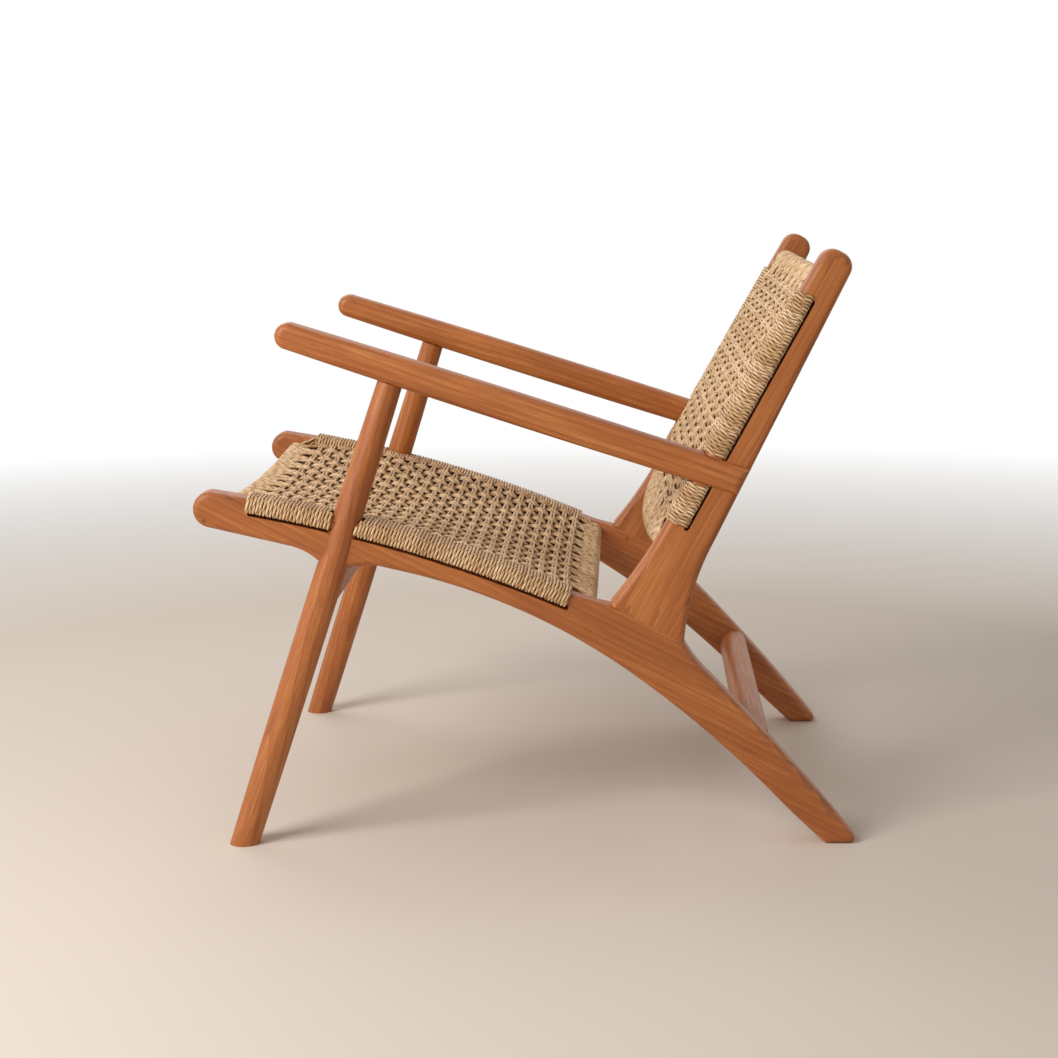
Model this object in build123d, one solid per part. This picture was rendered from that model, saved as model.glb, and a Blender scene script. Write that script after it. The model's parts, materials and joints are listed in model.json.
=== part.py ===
from build123d import *
from math import acos, atan2, cos, degrees, hypot, radians, sin, sqrt
import os

# Wooden lounge armchair with a seat and back woven from paper cord.
# Millimetres. X across the chair (+X is the sitter's left), -Y is the front, +Z is up.
# The origin is on the floor, in the middle of the chair's outline.
# A side outline is written as (y, z) points in the plane of a side frame.

# --- Side frames -----------------------------------------------------------
SIDE_X = 286.0            # centre plane of each side frame
TIMBER = 36.0             # thickness of side rails, back posts and armrests
EDGE_ROUND = 8.0          # rounding of the long edges of rails and posts
FIT = 0.1                 # clearance round hidden tenons and dowels

# Side rail: seat rail and rear leg in one sweeping timber
NOSE_TOP = (-371.5, 423.0)
NOSE_TIP = (-391.9, 402.0)
NOSE_LOW = (-375.5, 380.5)
SWEEP_END = (55.0, 302.0)
SWEEP_RADIUS = 1797.0     # crown of the seat rail's top edge
SEAT_J0 = (102.0, 288.0)  # front end of the flat that the back post stands on
SEAT_J1 = (187.0, 244.0)  # rear end of the same flat
HOCK = (216.0, 206.0)     # where the rear leg's upper edge begins
FOOT_REACH = 398.1        # rear end of the foot behind the chair's middle
FOOT_FLAT = 41.6
HEEL = (FOOT_REACH, 0.0)
HEEL_ROUND = 5.9
TOE = (FOOT_REACH - FOOT_FLAT, 0.0)
SHIN_RUN = 58.0           # from the toe forward to the shin
SHIN = (TOE[0] - SHIN_RUN, 55.5)
CALF = (118.5, 211.0)
BELLY = (-141.5, 327.1)
FLARE_REAR = (-174.0, 334.5)
FLARE_LOW_REAR = (-211.5, 331.0)
FLARE_LOW_FRONT = (-244.0, 340.0)
FLARE_FRONT = (-281.5, 359.0)
SEAT_END_HOLLOW = 1.3     # how far each curved edge bows from its chord
HOCK_HOLLOW = 1.6
REAR_LEG_SWELL = 3.7
SHIN_SWELL = 0.9
CALF_HOLLOW = 5.8
BELLY_HOLLOW = 13.8
FLARE_REAR_HOLLOW = 1.5
FLARE_FRONT_HOLLOW = 3.0

# Cord slots
SLOT = 6.5                # width of the slot in rails and posts
SEAT_STRIP = 14.0         # wood left above the seat slot
SEAT_SLOT_FRONT = -326.5
SEAT_SLOT_REAR = 51.0
BACK_STRIP_LOW = 19.8     # wood left in front of the back slot at its foot
BACK_STRIP_HIGH = 14.5    # and at its head
SLOT_TO_LOW_RAIL = 20.3   # from the slot's foot to the middle of the lower cross rail
SLOT_TO_TOP_RAIL = 19.0   # from the slot's head to the middle of the top cross rail

# Back post: its front edge runs straight up from the waist
NIB = 3.5                 # height of the post's front tip above the rail
POST_WAIST = (163.0, 382.0)
POST_LEAN = 60.62         # angle of the front edge above the level
POST_REACH = 375.5        # from the waist to the head
POST_HEAD_WIDE = 38.9
HEAD_FLAT = 3.9           # left between the two rounded corners of the head
POST_SMALL = (222.0, 366.0)
POST_TOE_HOLLOW = 2.7
POST_HEEL_HOLLOW = 6.8

# Armrest
ARM_TOP_FRONT = (-270.3, 619.0)
ARM_TIP = (-290.6, 609.0)
ARM_LOW_FRONT = (-279.7, 589.4)
ARM_SEAT_TOP = (108.9, 53.7)  # rear end: height up the post and depth behind its front edge
ARM_SEAT_LOW = (74.9, 55.6)
ARM_BELLY = 2.0           # swell of the arm's top and underside
ARM_ROUND = 9.5
ARM_IN_FRONT = 3.0        # arm centre inboard of the side frame over the front leg
ARM_OUT_REAR = 6.0        # and outboard of it at the back post
ARM_FRONT_Y = -158.5
ARM_REAR_Y = 222.0

# --- Front legs ------------------------------------------------------------
LEG_SPLAY_FOOT = 31.5     # foot outboard of the side frame
LEG_SPLAY_TOP = 5.0       # top inboard of it
LEG_FOOT = (SIDE_X + LEG_SPLAY_FOOT, -337.6, 0.0)
LEG_TOP = (SIDE_X - LEG_SPLAY_TOP, -158.5, 547.0)
LEG_FOOT_R = 16.75
LEG_SWELL_R = 18.0
LEG_SWELL_AT = 211.0      # distance up the leg of its thickest place
LEG_TOP_R = 15.0
TENON_R = 10.0
TENON_LENGTH = 22.0
LAP_X = SIDE_X            # plane where leg and rail are halved into each other

# --- Cross rails ----------------------------------------------------------------
RAIL_WIDE = 28.0
RAIL_THICK = 24.0
RAIL_ROUND = 8.5
FRONT_RAIL_GAP = 24.0     # from the seat slot's front end to the middle of the front rail
FRONT_RAIL_DEPTH = 27.1   # middle of the front rail below the seat rail's top edge
FRONT_RAIL_TILT = -13.0
REAR_RAIL_GAP = 13.1
REAR_RAIL_DEPTH = 17.3
REAR_RAIL_TILT = -21.0
SEAT_DISH = 9.0           # how much lower the seat is in the middle
BACK_RAIL_THICK = 22.0
BACK_RAIL_DEPTH = 17.0    # middle of both back rails behind the post's front edge
TOP_RAIL_DROP = 44.2      # top rail below the post's head
LOW_RAIL_DROP = 11.7      # lower rail below the post's waist
TOP_RAIL_BOW = (5.2, -2.9)
LOW_RAIL_BOW = (-15.0, -11.0)
RAIL_TENON = 20.0         # length of the tenons into the side frames
TENON_WIDE = 16.0
TENON_THICK = 11.0

# --- Stretchers --------------------------------------------------------------
BOARD_HEIGHT = 301.9      # middle of the front board above the floor
BOARD_TALL = 60.0
BOARD_THICK = 22.0
BOARD_ROUND = 5.0
BOARD_TENON_TALL = 38.0
BOARD_TENON_THICK = 11.0
BOARD_TENON = 13.0
BAR_HEIGHT = 115.5
BAR_BACK = 12.1           # rear bar behind the middle line of the rear leg
BAR_WIDE = 36.0
BAR_TALL = 39.0
BAR_ROUND = 15.0
BAR_TENON_WIDE = 18.0
BAR_TENON_TALL = 24.0

# --- Weave and dowels ----------------------------------------------------------
CORD = 4.0
CLEAR = 0.3               # soft weave kept off the wood
SHEET = 5.0               # thickness of the woven sheet
SHEET_RISE = 0.3          # sheet above the cord wound on the side timbers
DOWEL_R = 4.0
POST_DOWEL_LENGTH = 40.0
LAP_DOWEL_LENGTH = 28.0
LAP_DOWEL_Z = 365.0       # height of the dowel through leg and rail
ARM_DOWEL = (87.5, 39.1)  # height up the post and depth behind its front edge

# --- Derived ---------------------------------------------------------------------
INNER_X = SIDE_X - TIMBER / 2
OUTER_X = SIDE_X + TIMBER / 2
STATIONS = [INNER_X * k / 2 for k in (-2, -1, 0, 1, 2)]


def arc_centre(a, b, radius):
    """Centre of the circle through a and b that lies below their chord."""
    mid = ((a[0] + b[0]) / 2, (a[1] + b[1]) / 2)
    half = hypot(b[0] - a[0], b[1] - a[1]) / 2
    run = sqrt(radius**2 - half**2) / (2 * half)
    return (mid[0] + (b[1] - a[1]) * run, mid[1] - (b[0] - a[0]) * run)


SWEEP_CENTRE = arc_centre(NOSE_TOP, SWEEP_END, SWEEP_RADIUS)
POST_UP = Vector(cos(radians(POST_LEAN)), sin(radians(POST_LEAN)))
POST_OUT = Vector(-POST_UP.Y, POST_UP.X)


def post_point(height, depth):
    """Point a height up the back post from its waist and a depth behind its front edge."""
    point = Vector(*POST_WAIST) + POST_UP * height - POST_OUT * depth
    return (point.X, point.Y)




def sweep_point(y, depth):
    """Point at height line y, a depth below the seat rail's top edge."""
    radius = SWEEP_RADIUS - depth
    return (y, SWEEP_CENTRE[1] + sqrt(radius**2 - (y - SWEEP_CENTRE[0]) ** 2))


def sweep_arc(y0, y1, depth):
    """Arc concentric with the seat rail's top edge, from y0 to y1."""
    middle = sweep_point((y0 + y1) / 2, depth)
    return ThreePointArc(sweep_point(y0, depth), middle, sweep_point(y1, depth))


def side_solid(face, x0, x1):
    """Extrude a (y, z) outline from x0 to x1."""
    return extrude(Plane.YZ.offset(x0) * face, x1 - x0)


def bow(start, end, rise):
    """Shallow curve from start to end that swells to the left of its way."""
    run = Vector(*end) - Vector(*start)
    middle = Vector(*start) + run * 0.5 + Vector(-run.Y, run.X).normalized() * (2 * rise)
    return Bezier(start, (middle.X, middle.Y), end)


def face_of(*edges):
    return make_face(Curve() + list(edges))


def both(left):
    """A left-hand piece and its mirror image."""
    return left, mirror(left, Plane.YZ)



def pin(centre, direction, length, radius):
    """Round pin centred on a point in space."""
    plane = Plane(origin=centre, z_dir=direction)
    return plane * Cylinder(radius, length)


def half_space(x, side):
    """Everything outboard (side 1) or inboard (side -1) of a plane across X."""
    return Pos(x + side * 100, 0, 400) * Box(200, 2000, 1200)


def long_edges(solid, x, keep):
    """Edges in the side face at x whose middle passes the test."""
    found = solid.edges().filter_by_position(Axis.X, x - 0.01, x + 0.01)
    return [e for e in found if keep(e.position_at(0.5))]


# --- Side rail ---------------------------------------------------------------------
rail_face = face_of(
    ThreePointArc(NOSE_LOW, NOSE_TIP, NOSE_TOP),
    sweep_arc(NOSE_TOP[0], SWEEP_END[0], 0),
    SagittaArc(SWEEP_END, SEAT_J0, -SEAT_END_HOLLOW),
    Line(SEAT_J0, SEAT_J1),
    SagittaArc(SEAT_J1, HOCK, -HOCK_HOLLOW),
    SagittaArc(HOCK, HEEL, REAR_LEG_SWELL),
    Line(HEEL, TOE),
    SagittaArc(TOE, SHIN, SHIN_SWELL),
    SagittaArc(SHIN, CALF, -CALF_HOLLOW),
    SagittaArc(CALF, BELLY, -BELLY_HOLLOW),
    Line(BELLY, FLARE_REAR),
    SagittaArc(FLARE_REAR, FLARE_LOW_REAR, -FLARE_REAR_HOLLOW),
    Line(FLARE_LOW_REAR, FLARE_LOW_FRONT),
    SagittaArc(FLARE_LOW_FRONT, FLARE_FRONT, -FLARE_FRONT_HOLLOW),
    Line(FLARE_FRONT, NOSE_LOW),
)
rail_face = fillet(rail_face.vertices().sort_by(Axis.X)[-1], HEEL_ROUND)
slot_ends = (SEAT_SLOT_FRONT + SLOT / 2, SEAT_SLOT_REAR - SLOT / 2)
seat_slot = SlotArc(sweep_arc(*slot_ends, SEAT_STRIP + SLOT / 2), SLOT)
rail = side_solid(rail_face, INNER_X, OUTER_X)


def off_the_seat(p):
    """True away from the flat under the back post."""
    return not (SEAT_J0[0] < p.Y < SEAT_J1[0] and p.Z > SEAT_J1[1] - 1)


for x in (INNER_X, OUTER_X):
    rail = fillet(long_edges(rail, x, off_the_seat), EDGE_ROUND)

# --- Back post -----------------------------------------------------------------------
post_tip = (SEAT_J0[0] - 1, SEAT_J0[1] + NIB)
head_front = post_point(POST_REACH, 0)
head_rear = post_point(POST_REACH, POST_HEAD_WIDE)
post_face = face_of(
    Line(SEAT_J0, post_tip),
    SagittaArc(post_tip, POST_WAIST, -POST_TOE_HOLLOW),
    Line(POST_WAIST, head_front),
    Line(head_front, head_rear),
    Line(head_rear, POST_SMALL),
    SagittaArc(POST_SMALL, SEAT_J1, -POST_HEEL_HOLLOW),
    Line(SEAT_J1, SEAT_J0),
)
head_round = (POST_HEAD_WIDE - HEAD_FLAT) / 2
post_face = fillet(post_face.vertices().sort_by(Axis.Y)[-2:], head_round)
post = post_square = side_solid(post_face, INNER_X, OUTER_X)


def above_the_foot(p):
    """True away from the foot that stands on the rail."""
    share = (p.Y - SEAT_J0[0]) / (SEAT_J1[0] - SEAT_J0[0])
    foot = SEAT_J0[1] + share * (SEAT_J1[1] - SEAT_J0[1])
    return p.Z > foot + NIB


for x in (INNER_X, OUTER_X):
    post = fillet(long_edges(post, x, above_the_foot), EDGE_ROUND)
back_slot_foot = Vector(*post_point(SLOT_TO_LOW_RAIL - LOW_RAIL_DROP, BACK_STRIP_LOW + SLOT / 2))
slot_top = POST_REACH - TOP_RAIL_DROP - SLOT_TO_TOP_RAIL
back_slot_head = Vector(*post_point(slot_top, BACK_STRIP_HIGH + SLOT / 2))
back_slot_middle = (back_slot_foot + back_slot_head) * 0.5
back_slot_run = back_slot_head - back_slot_foot
back_slot_angle = degrees(atan2(back_slot_run.Y, back_slot_run.X))
back_slot = Pos(*back_slot_middle) * SlotOverall(back_slot_run.length, SLOT, rotation=back_slot_angle)

# --- Front leg: round, swelling a little below its middle, leaning in and back ------------
leg_axis = Vector(*LEG_TOP) - Vector(*LEG_FOOT)
leg_plane = Plane(origin=LEG_FOOT, x_dir=leg_axis.cross(Vector(0, -1, 0)), z_dir=leg_axis)
leg_low = -LEG_SWELL_R
leg_high = leg_axis.length + TENON_LENGTH
leg_profile = face_of(
    Line((0, leg_low), (LEG_FOOT_R, leg_low)),
    Line((LEG_FOOT_R, leg_low), (LEG_FOOT_R, 0)),
    ThreePointArc((LEG_FOOT_R, 0), (LEG_SWELL_R, LEG_SWELL_AT), (LEG_TOP_R, leg_axis.length)),
    Line((LEG_TOP_R, leg_axis.length), (LEG_TOP_R, leg_high)),
    Line((LEG_TOP_R, leg_high), (0, leg_high)),
    Line((0, leg_high), (0, leg_low)),
)
leg_round = leg_plane * revolve(Plane.XZ * leg_profile, Axis.Z)


def leg_at(z):
    """Point on the leg's axis at height z."""
    return Vector(*LEG_FOOT) + leg_axis * ((z - LEG_FOOT[2]) / (LEG_TOP[2] - LEG_FOOT[2]))


# --- Armrest ------------------------------------------------------------------------------
arm_top_rear = post_point(*ARM_SEAT_TOP)
arm_low_rear = post_point(*ARM_SEAT_LOW)


def arm_outline(swell):
    """Side outline of the armrest, with its two long edges drawn by the given curve."""
    return face_of(
        ThreePointArc(ARM_LOW_FRONT, ARM_TIP, ARM_TOP_FRONT),
        swell(ARM_TOP_FRONT, arm_top_rear, ARM_BELLY),
        Line(arm_top_rear, arm_low_rear),
        swell(arm_low_rear, ARM_LOW_FRONT, ARM_BELLY),
    )


arm_face = arm_outline(bow)
arm = side_solid(arm_face, -TIMBER / 2, TIMBER / 2)
for x in (-TIMBER / 2, TIMBER / 2):
    arm = fillet(long_edges(arm, x, lambda p: True), ARM_ROUND)
arm_splay = degrees(atan2(-ARM_IN_FRONT - ARM_OUT_REAR, ARM_REAR_Y - ARM_FRONT_Y))
arm_place = Pos(SIDE_X - ARM_IN_FRONT, ARM_FRONT_Y, 0) * Rot(0, 0, arm_splay) * Pos(0, -ARM_FRONT_Y, 0)
arm = arm_place * arm
arm_room_face = offset(arm_outline(SagittaArc), CLEAR)
arm_room = arm_place * side_solid(arm_room_face, -TIMBER / 2 - CLEAR, TIMBER / 2 + CLEAR)

# Leg and armrest: the round tenon stops inside the arm
tenon_root = leg_at(LEG_TOP[2])
floor = Pos(0, 0, -50) * Box(2000, 2000, 100)
leg = leg_round - floor - arm_place * side_solid(arm_face, -2 * TIMBER, 2 * TIMBER)
leg += pin(tenon_root, leg_axis, 2 * TENON_LENGTH, TENON_R)
arm -= pin(tenon_root, leg_axis, 2 * (TENON_LENGTH + 1), TENON_R + FIT)

# Leg and side rail: halved into each other at the lap plane
leg -= rail & half_space(LAP_X, -1)
rail -= leg_round & half_space(LAP_X, 1)

# Armrest and back post: halved at the middle of the post
arm_whole = arm
arm -= post_square & half_space(SIDE_X, -1)
post -= arm_whole & half_space(SIDE_X, 1)

# Cord slots, cut once the laps are made
rail -= side_solid(seat_slot, INNER_X - 1, OUTER_X + 1)
post -= side_solid(back_slot, INNER_X - 1, OUTER_X + 1)


# --- Cross rails -------------------------------------------------------------------------------
class CrossRail:
    """A rounded rail across the chair, bowed by a given shift of its middle."""

    def __init__(self, place, bow, thick):
        self.centre, self.tilt = place
        self.bow = bow
        self.thick = thick

    def at(self, x):
        """Section plane at x, with its local X along the rail's width."""
        share = 1 - (x / INNER_X) ** 2
        y = self.centre[0] + share * self.bow[0]
        z = self.centre[1] + share * self.bow[1]
        turn = radians(self.tilt)
        return Plane(origin=(x, y, z), x_dir=(0, cos(turn), sin(turn)), z_dir=(1, 0, 0))

    def corner(self, x, along, up, grow):
        """Corner of the section, grown by a clearance, as (y, z)."""
        local = (along * (RAIL_WIDE / 2 + grow), up * (self.thick / 2 + grow), 0)
        point = self.at(x).from_local_coords(local)
        return (point.Y, point.Z)

    def wood(self):
        """The bowed rail between the side frames."""
        return loft([self.at(x) * RectangleRounded(RAIL_WIDE, self.thick, RAIL_ROUND) for x in STATIONS])

    def tenons(self, grow):
        """Both tenons, grown by a clearance for their mortises."""
        reach = RAIL_TENON + grow
        size = (TENON_WIDE + 2 * grow, TENON_THICK + 2 * grow)
        left = extrude(self.at(INNER_X) * Rectangle(*size), reach)
        return left + mirror(left, Plane.YZ)


front_place = sweep_point(SEAT_SLOT_FRONT - FRONT_RAIL_GAP, FRONT_RAIL_DEPTH)
rear_place = sweep_point(SEAT_SLOT_REAR + REAR_RAIL_GAP, REAR_RAIL_DEPTH)
top_place = post_point(POST_REACH - TOP_RAIL_DROP, BACK_RAIL_DEPTH)
low_place = post_point(-LOW_RAIL_DROP, BACK_RAIL_DEPTH)
front_rail = CrossRail((front_place, FRONT_RAIL_TILT), (0, -SEAT_DISH), RAIL_THICK)
rear_rail = CrossRail((rear_place, REAR_RAIL_TILT), (0, -SEAT_DISH), RAIL_THICK)
top_rail = CrossRail((top_place, POST_LEAN), TOP_RAIL_BOW, BACK_RAIL_THICK)
low_rail = CrossRail((low_place, POST_LEAN), LOW_RAIL_BOW, BACK_RAIL_THICK)

seat_front = front_rail.wood() + front_rail.tenons(0)
seat_rear = rear_rail.wood() + rear_rail.tenons(0)
back_top = top_rail.wood() + top_rail.tenons(0)
back_bottom = low_rail.wood() + low_rail.tenons(0)
rail -= front_rail.tenons(FIT) + rear_rail.tenons(FIT)
post -= top_rail.tenons(FIT) + low_rail.tenons(FIT)

# --- Stretchers ---------------------------------------------------------------------------------
board_foot = leg_at(BOARD_HEIGHT)
board_middle = (0, board_foot.Y, BOARD_HEIGHT)
board_plane = Plane(origin=board_middle, x_dir=(0, leg_axis.Y, leg_axis.Z), z_dir=(1, 0, 0))


def across(plane, face, reach):
    """Extrude a section the same distance to both sides of the middle."""
    return extrude(plane * face, reach, both=True)


board = across(board_plane, RectangleRounded(BOARD_TALL, BOARD_THICK, BOARD_ROUND), board_foot.X)
board -= leg_round + mirror(leg_round, Plane.YZ)


def board_tenons(grow):
    reach = board_foot.X - LEG_SWELL_R + BOARD_TENON + grow
    section = Rectangle(BOARD_TENON_TALL + 2 * grow, BOARD_TENON_THICK + 2 * grow)
    return across(board_plane, section, reach)


front_stretcher = board + board_tenons(0)
leg -= board_tenons(FIT)

leg_high_mid = (Vector(*HOCK) + Vector(*CALF)) * 0.5
leg_low_mid = (Vector(*HEEL) + Vector(*TOE)) * 0.5
bar_share = (leg_high_mid.Y - BAR_HEIGHT) / leg_high_mid.Y
bar_y = leg_high_mid.X + (leg_low_mid.X - leg_high_mid.X) * bar_share + BAR_BACK
bar_plane = Plane(origin=(0, bar_y, BAR_HEIGHT), x_dir=(0, 1, 0), z_dir=(1, 0, 0))
bar = across(bar_plane, RectangleRounded(BAR_WIDE, BAR_TALL, BAR_ROUND), INNER_X)


def bar_tenons(grow):
    section = Rectangle(BAR_TENON_WIDE + 2 * grow, BAR_TENON_TALL + 2 * grow)
    return across(bar_plane, section, INNER_X + RAIL_TENON + grow)


rear_stretcher = bar + bar_tenons(0)
rail -= bar_tenons(FIT)

# --- Dowels -------------------------------------------------------------------------------------
foot_run = Vector(0, SEAT_J1[0] - SEAT_J0[0], SEAT_J1[1] - SEAT_J0[1])
foot_normal = Vector(0, -foot_run.Z, foot_run.Y)
foot_start = Vector(SIDE_X, *SEAT_J0)
arm_crossing = Vector(SIDE_X, *post_point(*ARM_DOWEL))
lap_crossing = leg_at(LAP_DOWEL_Z)


def post_pins(grow):
    places = [foot_start + foot_run * share for share in (1 / 3, 2 / 3)]
    return [pin(p, foot_normal, POST_DOWEL_LENGTH + 2 * grow, DOWEL_R + grow) for p in places]


def cross_pin(place, x, grow):
    return pin((x, place.Y, place.Z), (1, 0, 0), LAP_DOWEL_LENGTH + 2 * grow, DOWEL_R + grow)


for hole in post_pins(FIT):
    rail -= hole
    post -= hole
leg -= cross_pin(lap_crossing, LAP_X, FIT)
rail -= cross_pin(lap_crossing, LAP_X, FIT)
arm -= cross_pin(arm_crossing, SIDE_X, FIT)
post -= cross_pin(arm_crossing, SIDE_X, FIT)

# --- Woven panels -----------------------------------------------------------------------------------


class Panel:
    """Two-layer woven panel stretched round a low and a high cross rail."""

    def __init__(self, low, high, crowns):
        self.low, self.high = low, high
        self.crowns = crowns

    def crown(self, x, face, grow):
        """Middle of the face or back sheet at x, moved out by a clearance."""
        share = 1 - (x / INNER_X) ** 2
        point, out = self.crowns[face]
        drop = [(a + b) / 2 * share for a, b in zip(self.low.bow, self.high.bow)]
        return (point.X + drop[0] + out.X * grow, point.Y + drop[1] + out.Y * grow)

    def section(self, x, grow):
        low, high = self.low, self.high
        a = low.corner(x, -1, 1, grow)
        b = high.corner(x, 1, 1, grow)
        c = high.corner(x, 1, -1, grow)
        d = high.corner(x, -1, -1, grow)
        e = low.corner(x, 1, -1, grow)
        f = low.corner(x, -1, -1, grow)
        outline = face_of(
            ThreePointArc(a, self.crown(x, 0, grow), b),
            Line(b, c),
            Line(c, d),
            ThreePointArc(d, self.crown(x, 1, grow), e),
            Line(e, f),
            Line(f, a),
        )
        return Plane.YZ.offset(x) * fillet(outline.vertices(), RAIL_ROUND + grow)

    def sleeve(self):
        """Closed sleeve of woven cord round both cross rails."""
        places = [x * (INNER_X - CLEAR) / INNER_X for x in STATIONS]
        outer = loft([self.section(x, CLEAR + SHEET) for x in places])
        return outer - loft([self.section(x, CLEAR) for x in places])


def band(outline, strip):
    """Cord wound round the strip of a side timber outside its slot."""
    wound = side_solid(outline, INNER_X - CORD, OUTER_X + CORD)
    return wound - side_solid(strip, INNER_X - CLEAR, OUTER_X + CLEAR)


def seat_sector(grow):
    """Outline of the strip above the seat slot, grown all round but at its ends."""
    y0, y1 = slot_ends
    top = sweep_arc(y0, y1, -grow)
    low = sweep_arc(y1, y0, SEAT_STRIP + grow)
    return face_of(top, Line(top @ 1, low @ 0), low, Line(low @ 1, top @ 0))


def post_edge(point):
    """Foot of the perpendicular from a point to the post's front edge."""
    return Vector(*POST_WAIST) + POST_UP * (Vector(*point) - Vector(*POST_WAIST)).dot(POST_UP)


def back_sector(grow):
    """Outline of the strip in front of the back slot, grown front and rear."""
    inner = back_slot_run.normalized()
    low = back_slot_foot + inner * (SLOT / 2)
    high = back_slot_head - inner * (SLOT / 2)
    rear = POST_OUT * (SLOT / 2 - grow)
    front = POST_OUT * grow
    corners = (post_edge(low) + front, post_edge(high) + front, high + rear, low + rear)
    return make_face(Polyline(*corners, close=True))


seat_mid = (front_place[0] + rear_place[0]) / 2
seat_up = (Vector(*sweep_point(seat_mid, 0)) - Vector(*SWEEP_CENTRE)).normalized()
sheet_sink = SHEET + CLEAR - CORD - SHEET_RISE
seat_face = Vector(*sweep_point(seat_mid, sheet_sink))
seat_under = Vector(*sweep_point(seat_mid, SEAT_STRIP - sheet_sink))
seat_panel = Panel(front_rail, rear_rail, [(seat_face, seat_up), (seat_under, seat_up * -1)])
back_mid = post_edge(back_slot_middle)
back_face = back_mid - POST_OUT * sheet_sink
back_rear = back_slot_middle + POST_OUT * (SLOT / 2 + sheet_sink)
back_panel = Panel(low_rail, top_rail, [(back_face, POST_OUT), (back_rear, POST_OUT * -1)])

leg_room = pin(lap_crossing, leg_axis, 200, LEG_SWELL_R + CLEAR)
seat_band = band(seat_sector(CORD), seat_sector(CLEAR)) - leg_room
back_band = band(back_sector(CORD), back_sector(CLEAR)) - arm_room
seat_weave = seat_panel.sleeve() + seat_band + mirror(seat_band, Plane.YZ)
back_weave = back_panel.sleeve() + back_band + mirror(back_band, Plane.YZ)

# --- Write the pieces ---------------------------------------------------------------
pieces = {
    "seat_front_rail": seat_front,
    "seat_rear_rail": seat_rear,
    "back_top_rail": back_top,
    "back_bottom_rail": back_bottom,
    "front_stretcher": front_stretcher,
    "rear_stretcher": rear_stretcher,
    "seat_weave": seat_weave,
    "back_weave": back_weave,
}
for name, left in (("side_rail", rail), ("back_post", post), ("front_leg", leg), ("armrest", arm)):
    pieces[name + "_left"], pieces[name + "_right"] = both(left)

pins = {
    "post_dowels": post_pins(0),
    "arm_dowels": [cross_pin(arm_crossing, SIDE_X, 0)],
    "lap_dowels": [cross_pin(lap_crossing, LAP_X, 0)],
}
for name, left in pins.items():
    pieces[name] = Compound(left + [mirror(p, Plane.YZ) for p in left])

os.makedirs("parts", exist_ok=True)
for name, shape in pieces.items():
    export_step(shape, "parts/" + name + ".step")
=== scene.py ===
"""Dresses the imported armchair: oiled teak timbers and a seat and back woven from twisted paper cord."""

import json
import logging
import math
from collections.abc import Sequence
from dataclasses import dataclass, field
from enum import Enum

import bpy
import numpy as np
from mathutils import Matrix, Vector

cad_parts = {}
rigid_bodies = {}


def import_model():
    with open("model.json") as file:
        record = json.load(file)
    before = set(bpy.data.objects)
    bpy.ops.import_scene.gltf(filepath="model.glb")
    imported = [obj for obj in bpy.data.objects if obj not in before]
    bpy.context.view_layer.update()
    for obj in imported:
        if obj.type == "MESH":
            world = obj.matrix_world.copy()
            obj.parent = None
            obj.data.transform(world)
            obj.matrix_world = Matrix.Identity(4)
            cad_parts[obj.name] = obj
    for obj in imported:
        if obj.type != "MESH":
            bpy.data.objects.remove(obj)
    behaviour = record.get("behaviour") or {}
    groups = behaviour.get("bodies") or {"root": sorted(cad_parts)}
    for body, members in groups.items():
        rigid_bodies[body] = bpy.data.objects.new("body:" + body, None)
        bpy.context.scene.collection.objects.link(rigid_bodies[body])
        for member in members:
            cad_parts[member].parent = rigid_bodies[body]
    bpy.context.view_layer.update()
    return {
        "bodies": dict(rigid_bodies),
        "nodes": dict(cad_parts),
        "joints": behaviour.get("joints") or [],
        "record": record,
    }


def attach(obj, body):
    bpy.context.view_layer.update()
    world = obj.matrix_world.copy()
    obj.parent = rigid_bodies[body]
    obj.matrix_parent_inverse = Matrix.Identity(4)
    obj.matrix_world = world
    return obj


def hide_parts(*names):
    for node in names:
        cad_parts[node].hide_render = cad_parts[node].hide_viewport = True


Pair = tuple[float, float]
Triple = tuple[float, float, float]
Knot = tuple[float, float, float, float]
Line = tuple[Pair, Pair]
Stop = tuple[float, Triple]
Socket = bpy.types.NodeSocket

LOG = logging.getLogger("armchair")
MM = 0.001
SEED = 4127
ORIGIN: Triple = (0, 0, 0)
EVEN: Triple = (1, 1, 1)
LAY = "lay"


class Finish(Enum):
    """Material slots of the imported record."""

    TEAK = "teak"
    DOWEL = "dowel"
    CORD = "cord"


class Side(Enum):
    """Sides of the chair, as the sign of their X."""

    LEFT = 1
    RIGHT = -1


class Layer(Enum):
    """Sheets of a woven panel, as the sign of their height over a cross rail."""

    FACE = 1
    BACK = -1


class Bundle(Enum):
    """Cords of a panel that become one piece together."""

    WARPS_RIGHT = "warps_right"
    WARPS_MIDDLE = "warps_middle"
    WARPS_LEFT = "warps_left"
    WEFTS_FRONT = "wefts_front"
    WEFTS_REAR = "wefts_rear"
    EDGE_WRAPS = "edge_wraps"
    SIDE_WRAPS = "side_wraps"


WARP_BUNDLES = (Bundle.WARPS_RIGHT, Bundle.WARPS_MIDDLE, Bundle.WARPS_LEFT)


@dataclass(frozen=True)
class Figure:
    """Noise in a finish.

    Attributes:
        detail: Number of finer layers.
        rough: Share of the finer layers.
        scale: Finer as it grows.
        stretch: Stretch along and across the grain.
        warp: How far the pattern is bent.
    """

    detail: float
    rough: float
    scale: float = 1.0
    stretch: Triple = EVEN
    warp: float = 0.0


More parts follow.
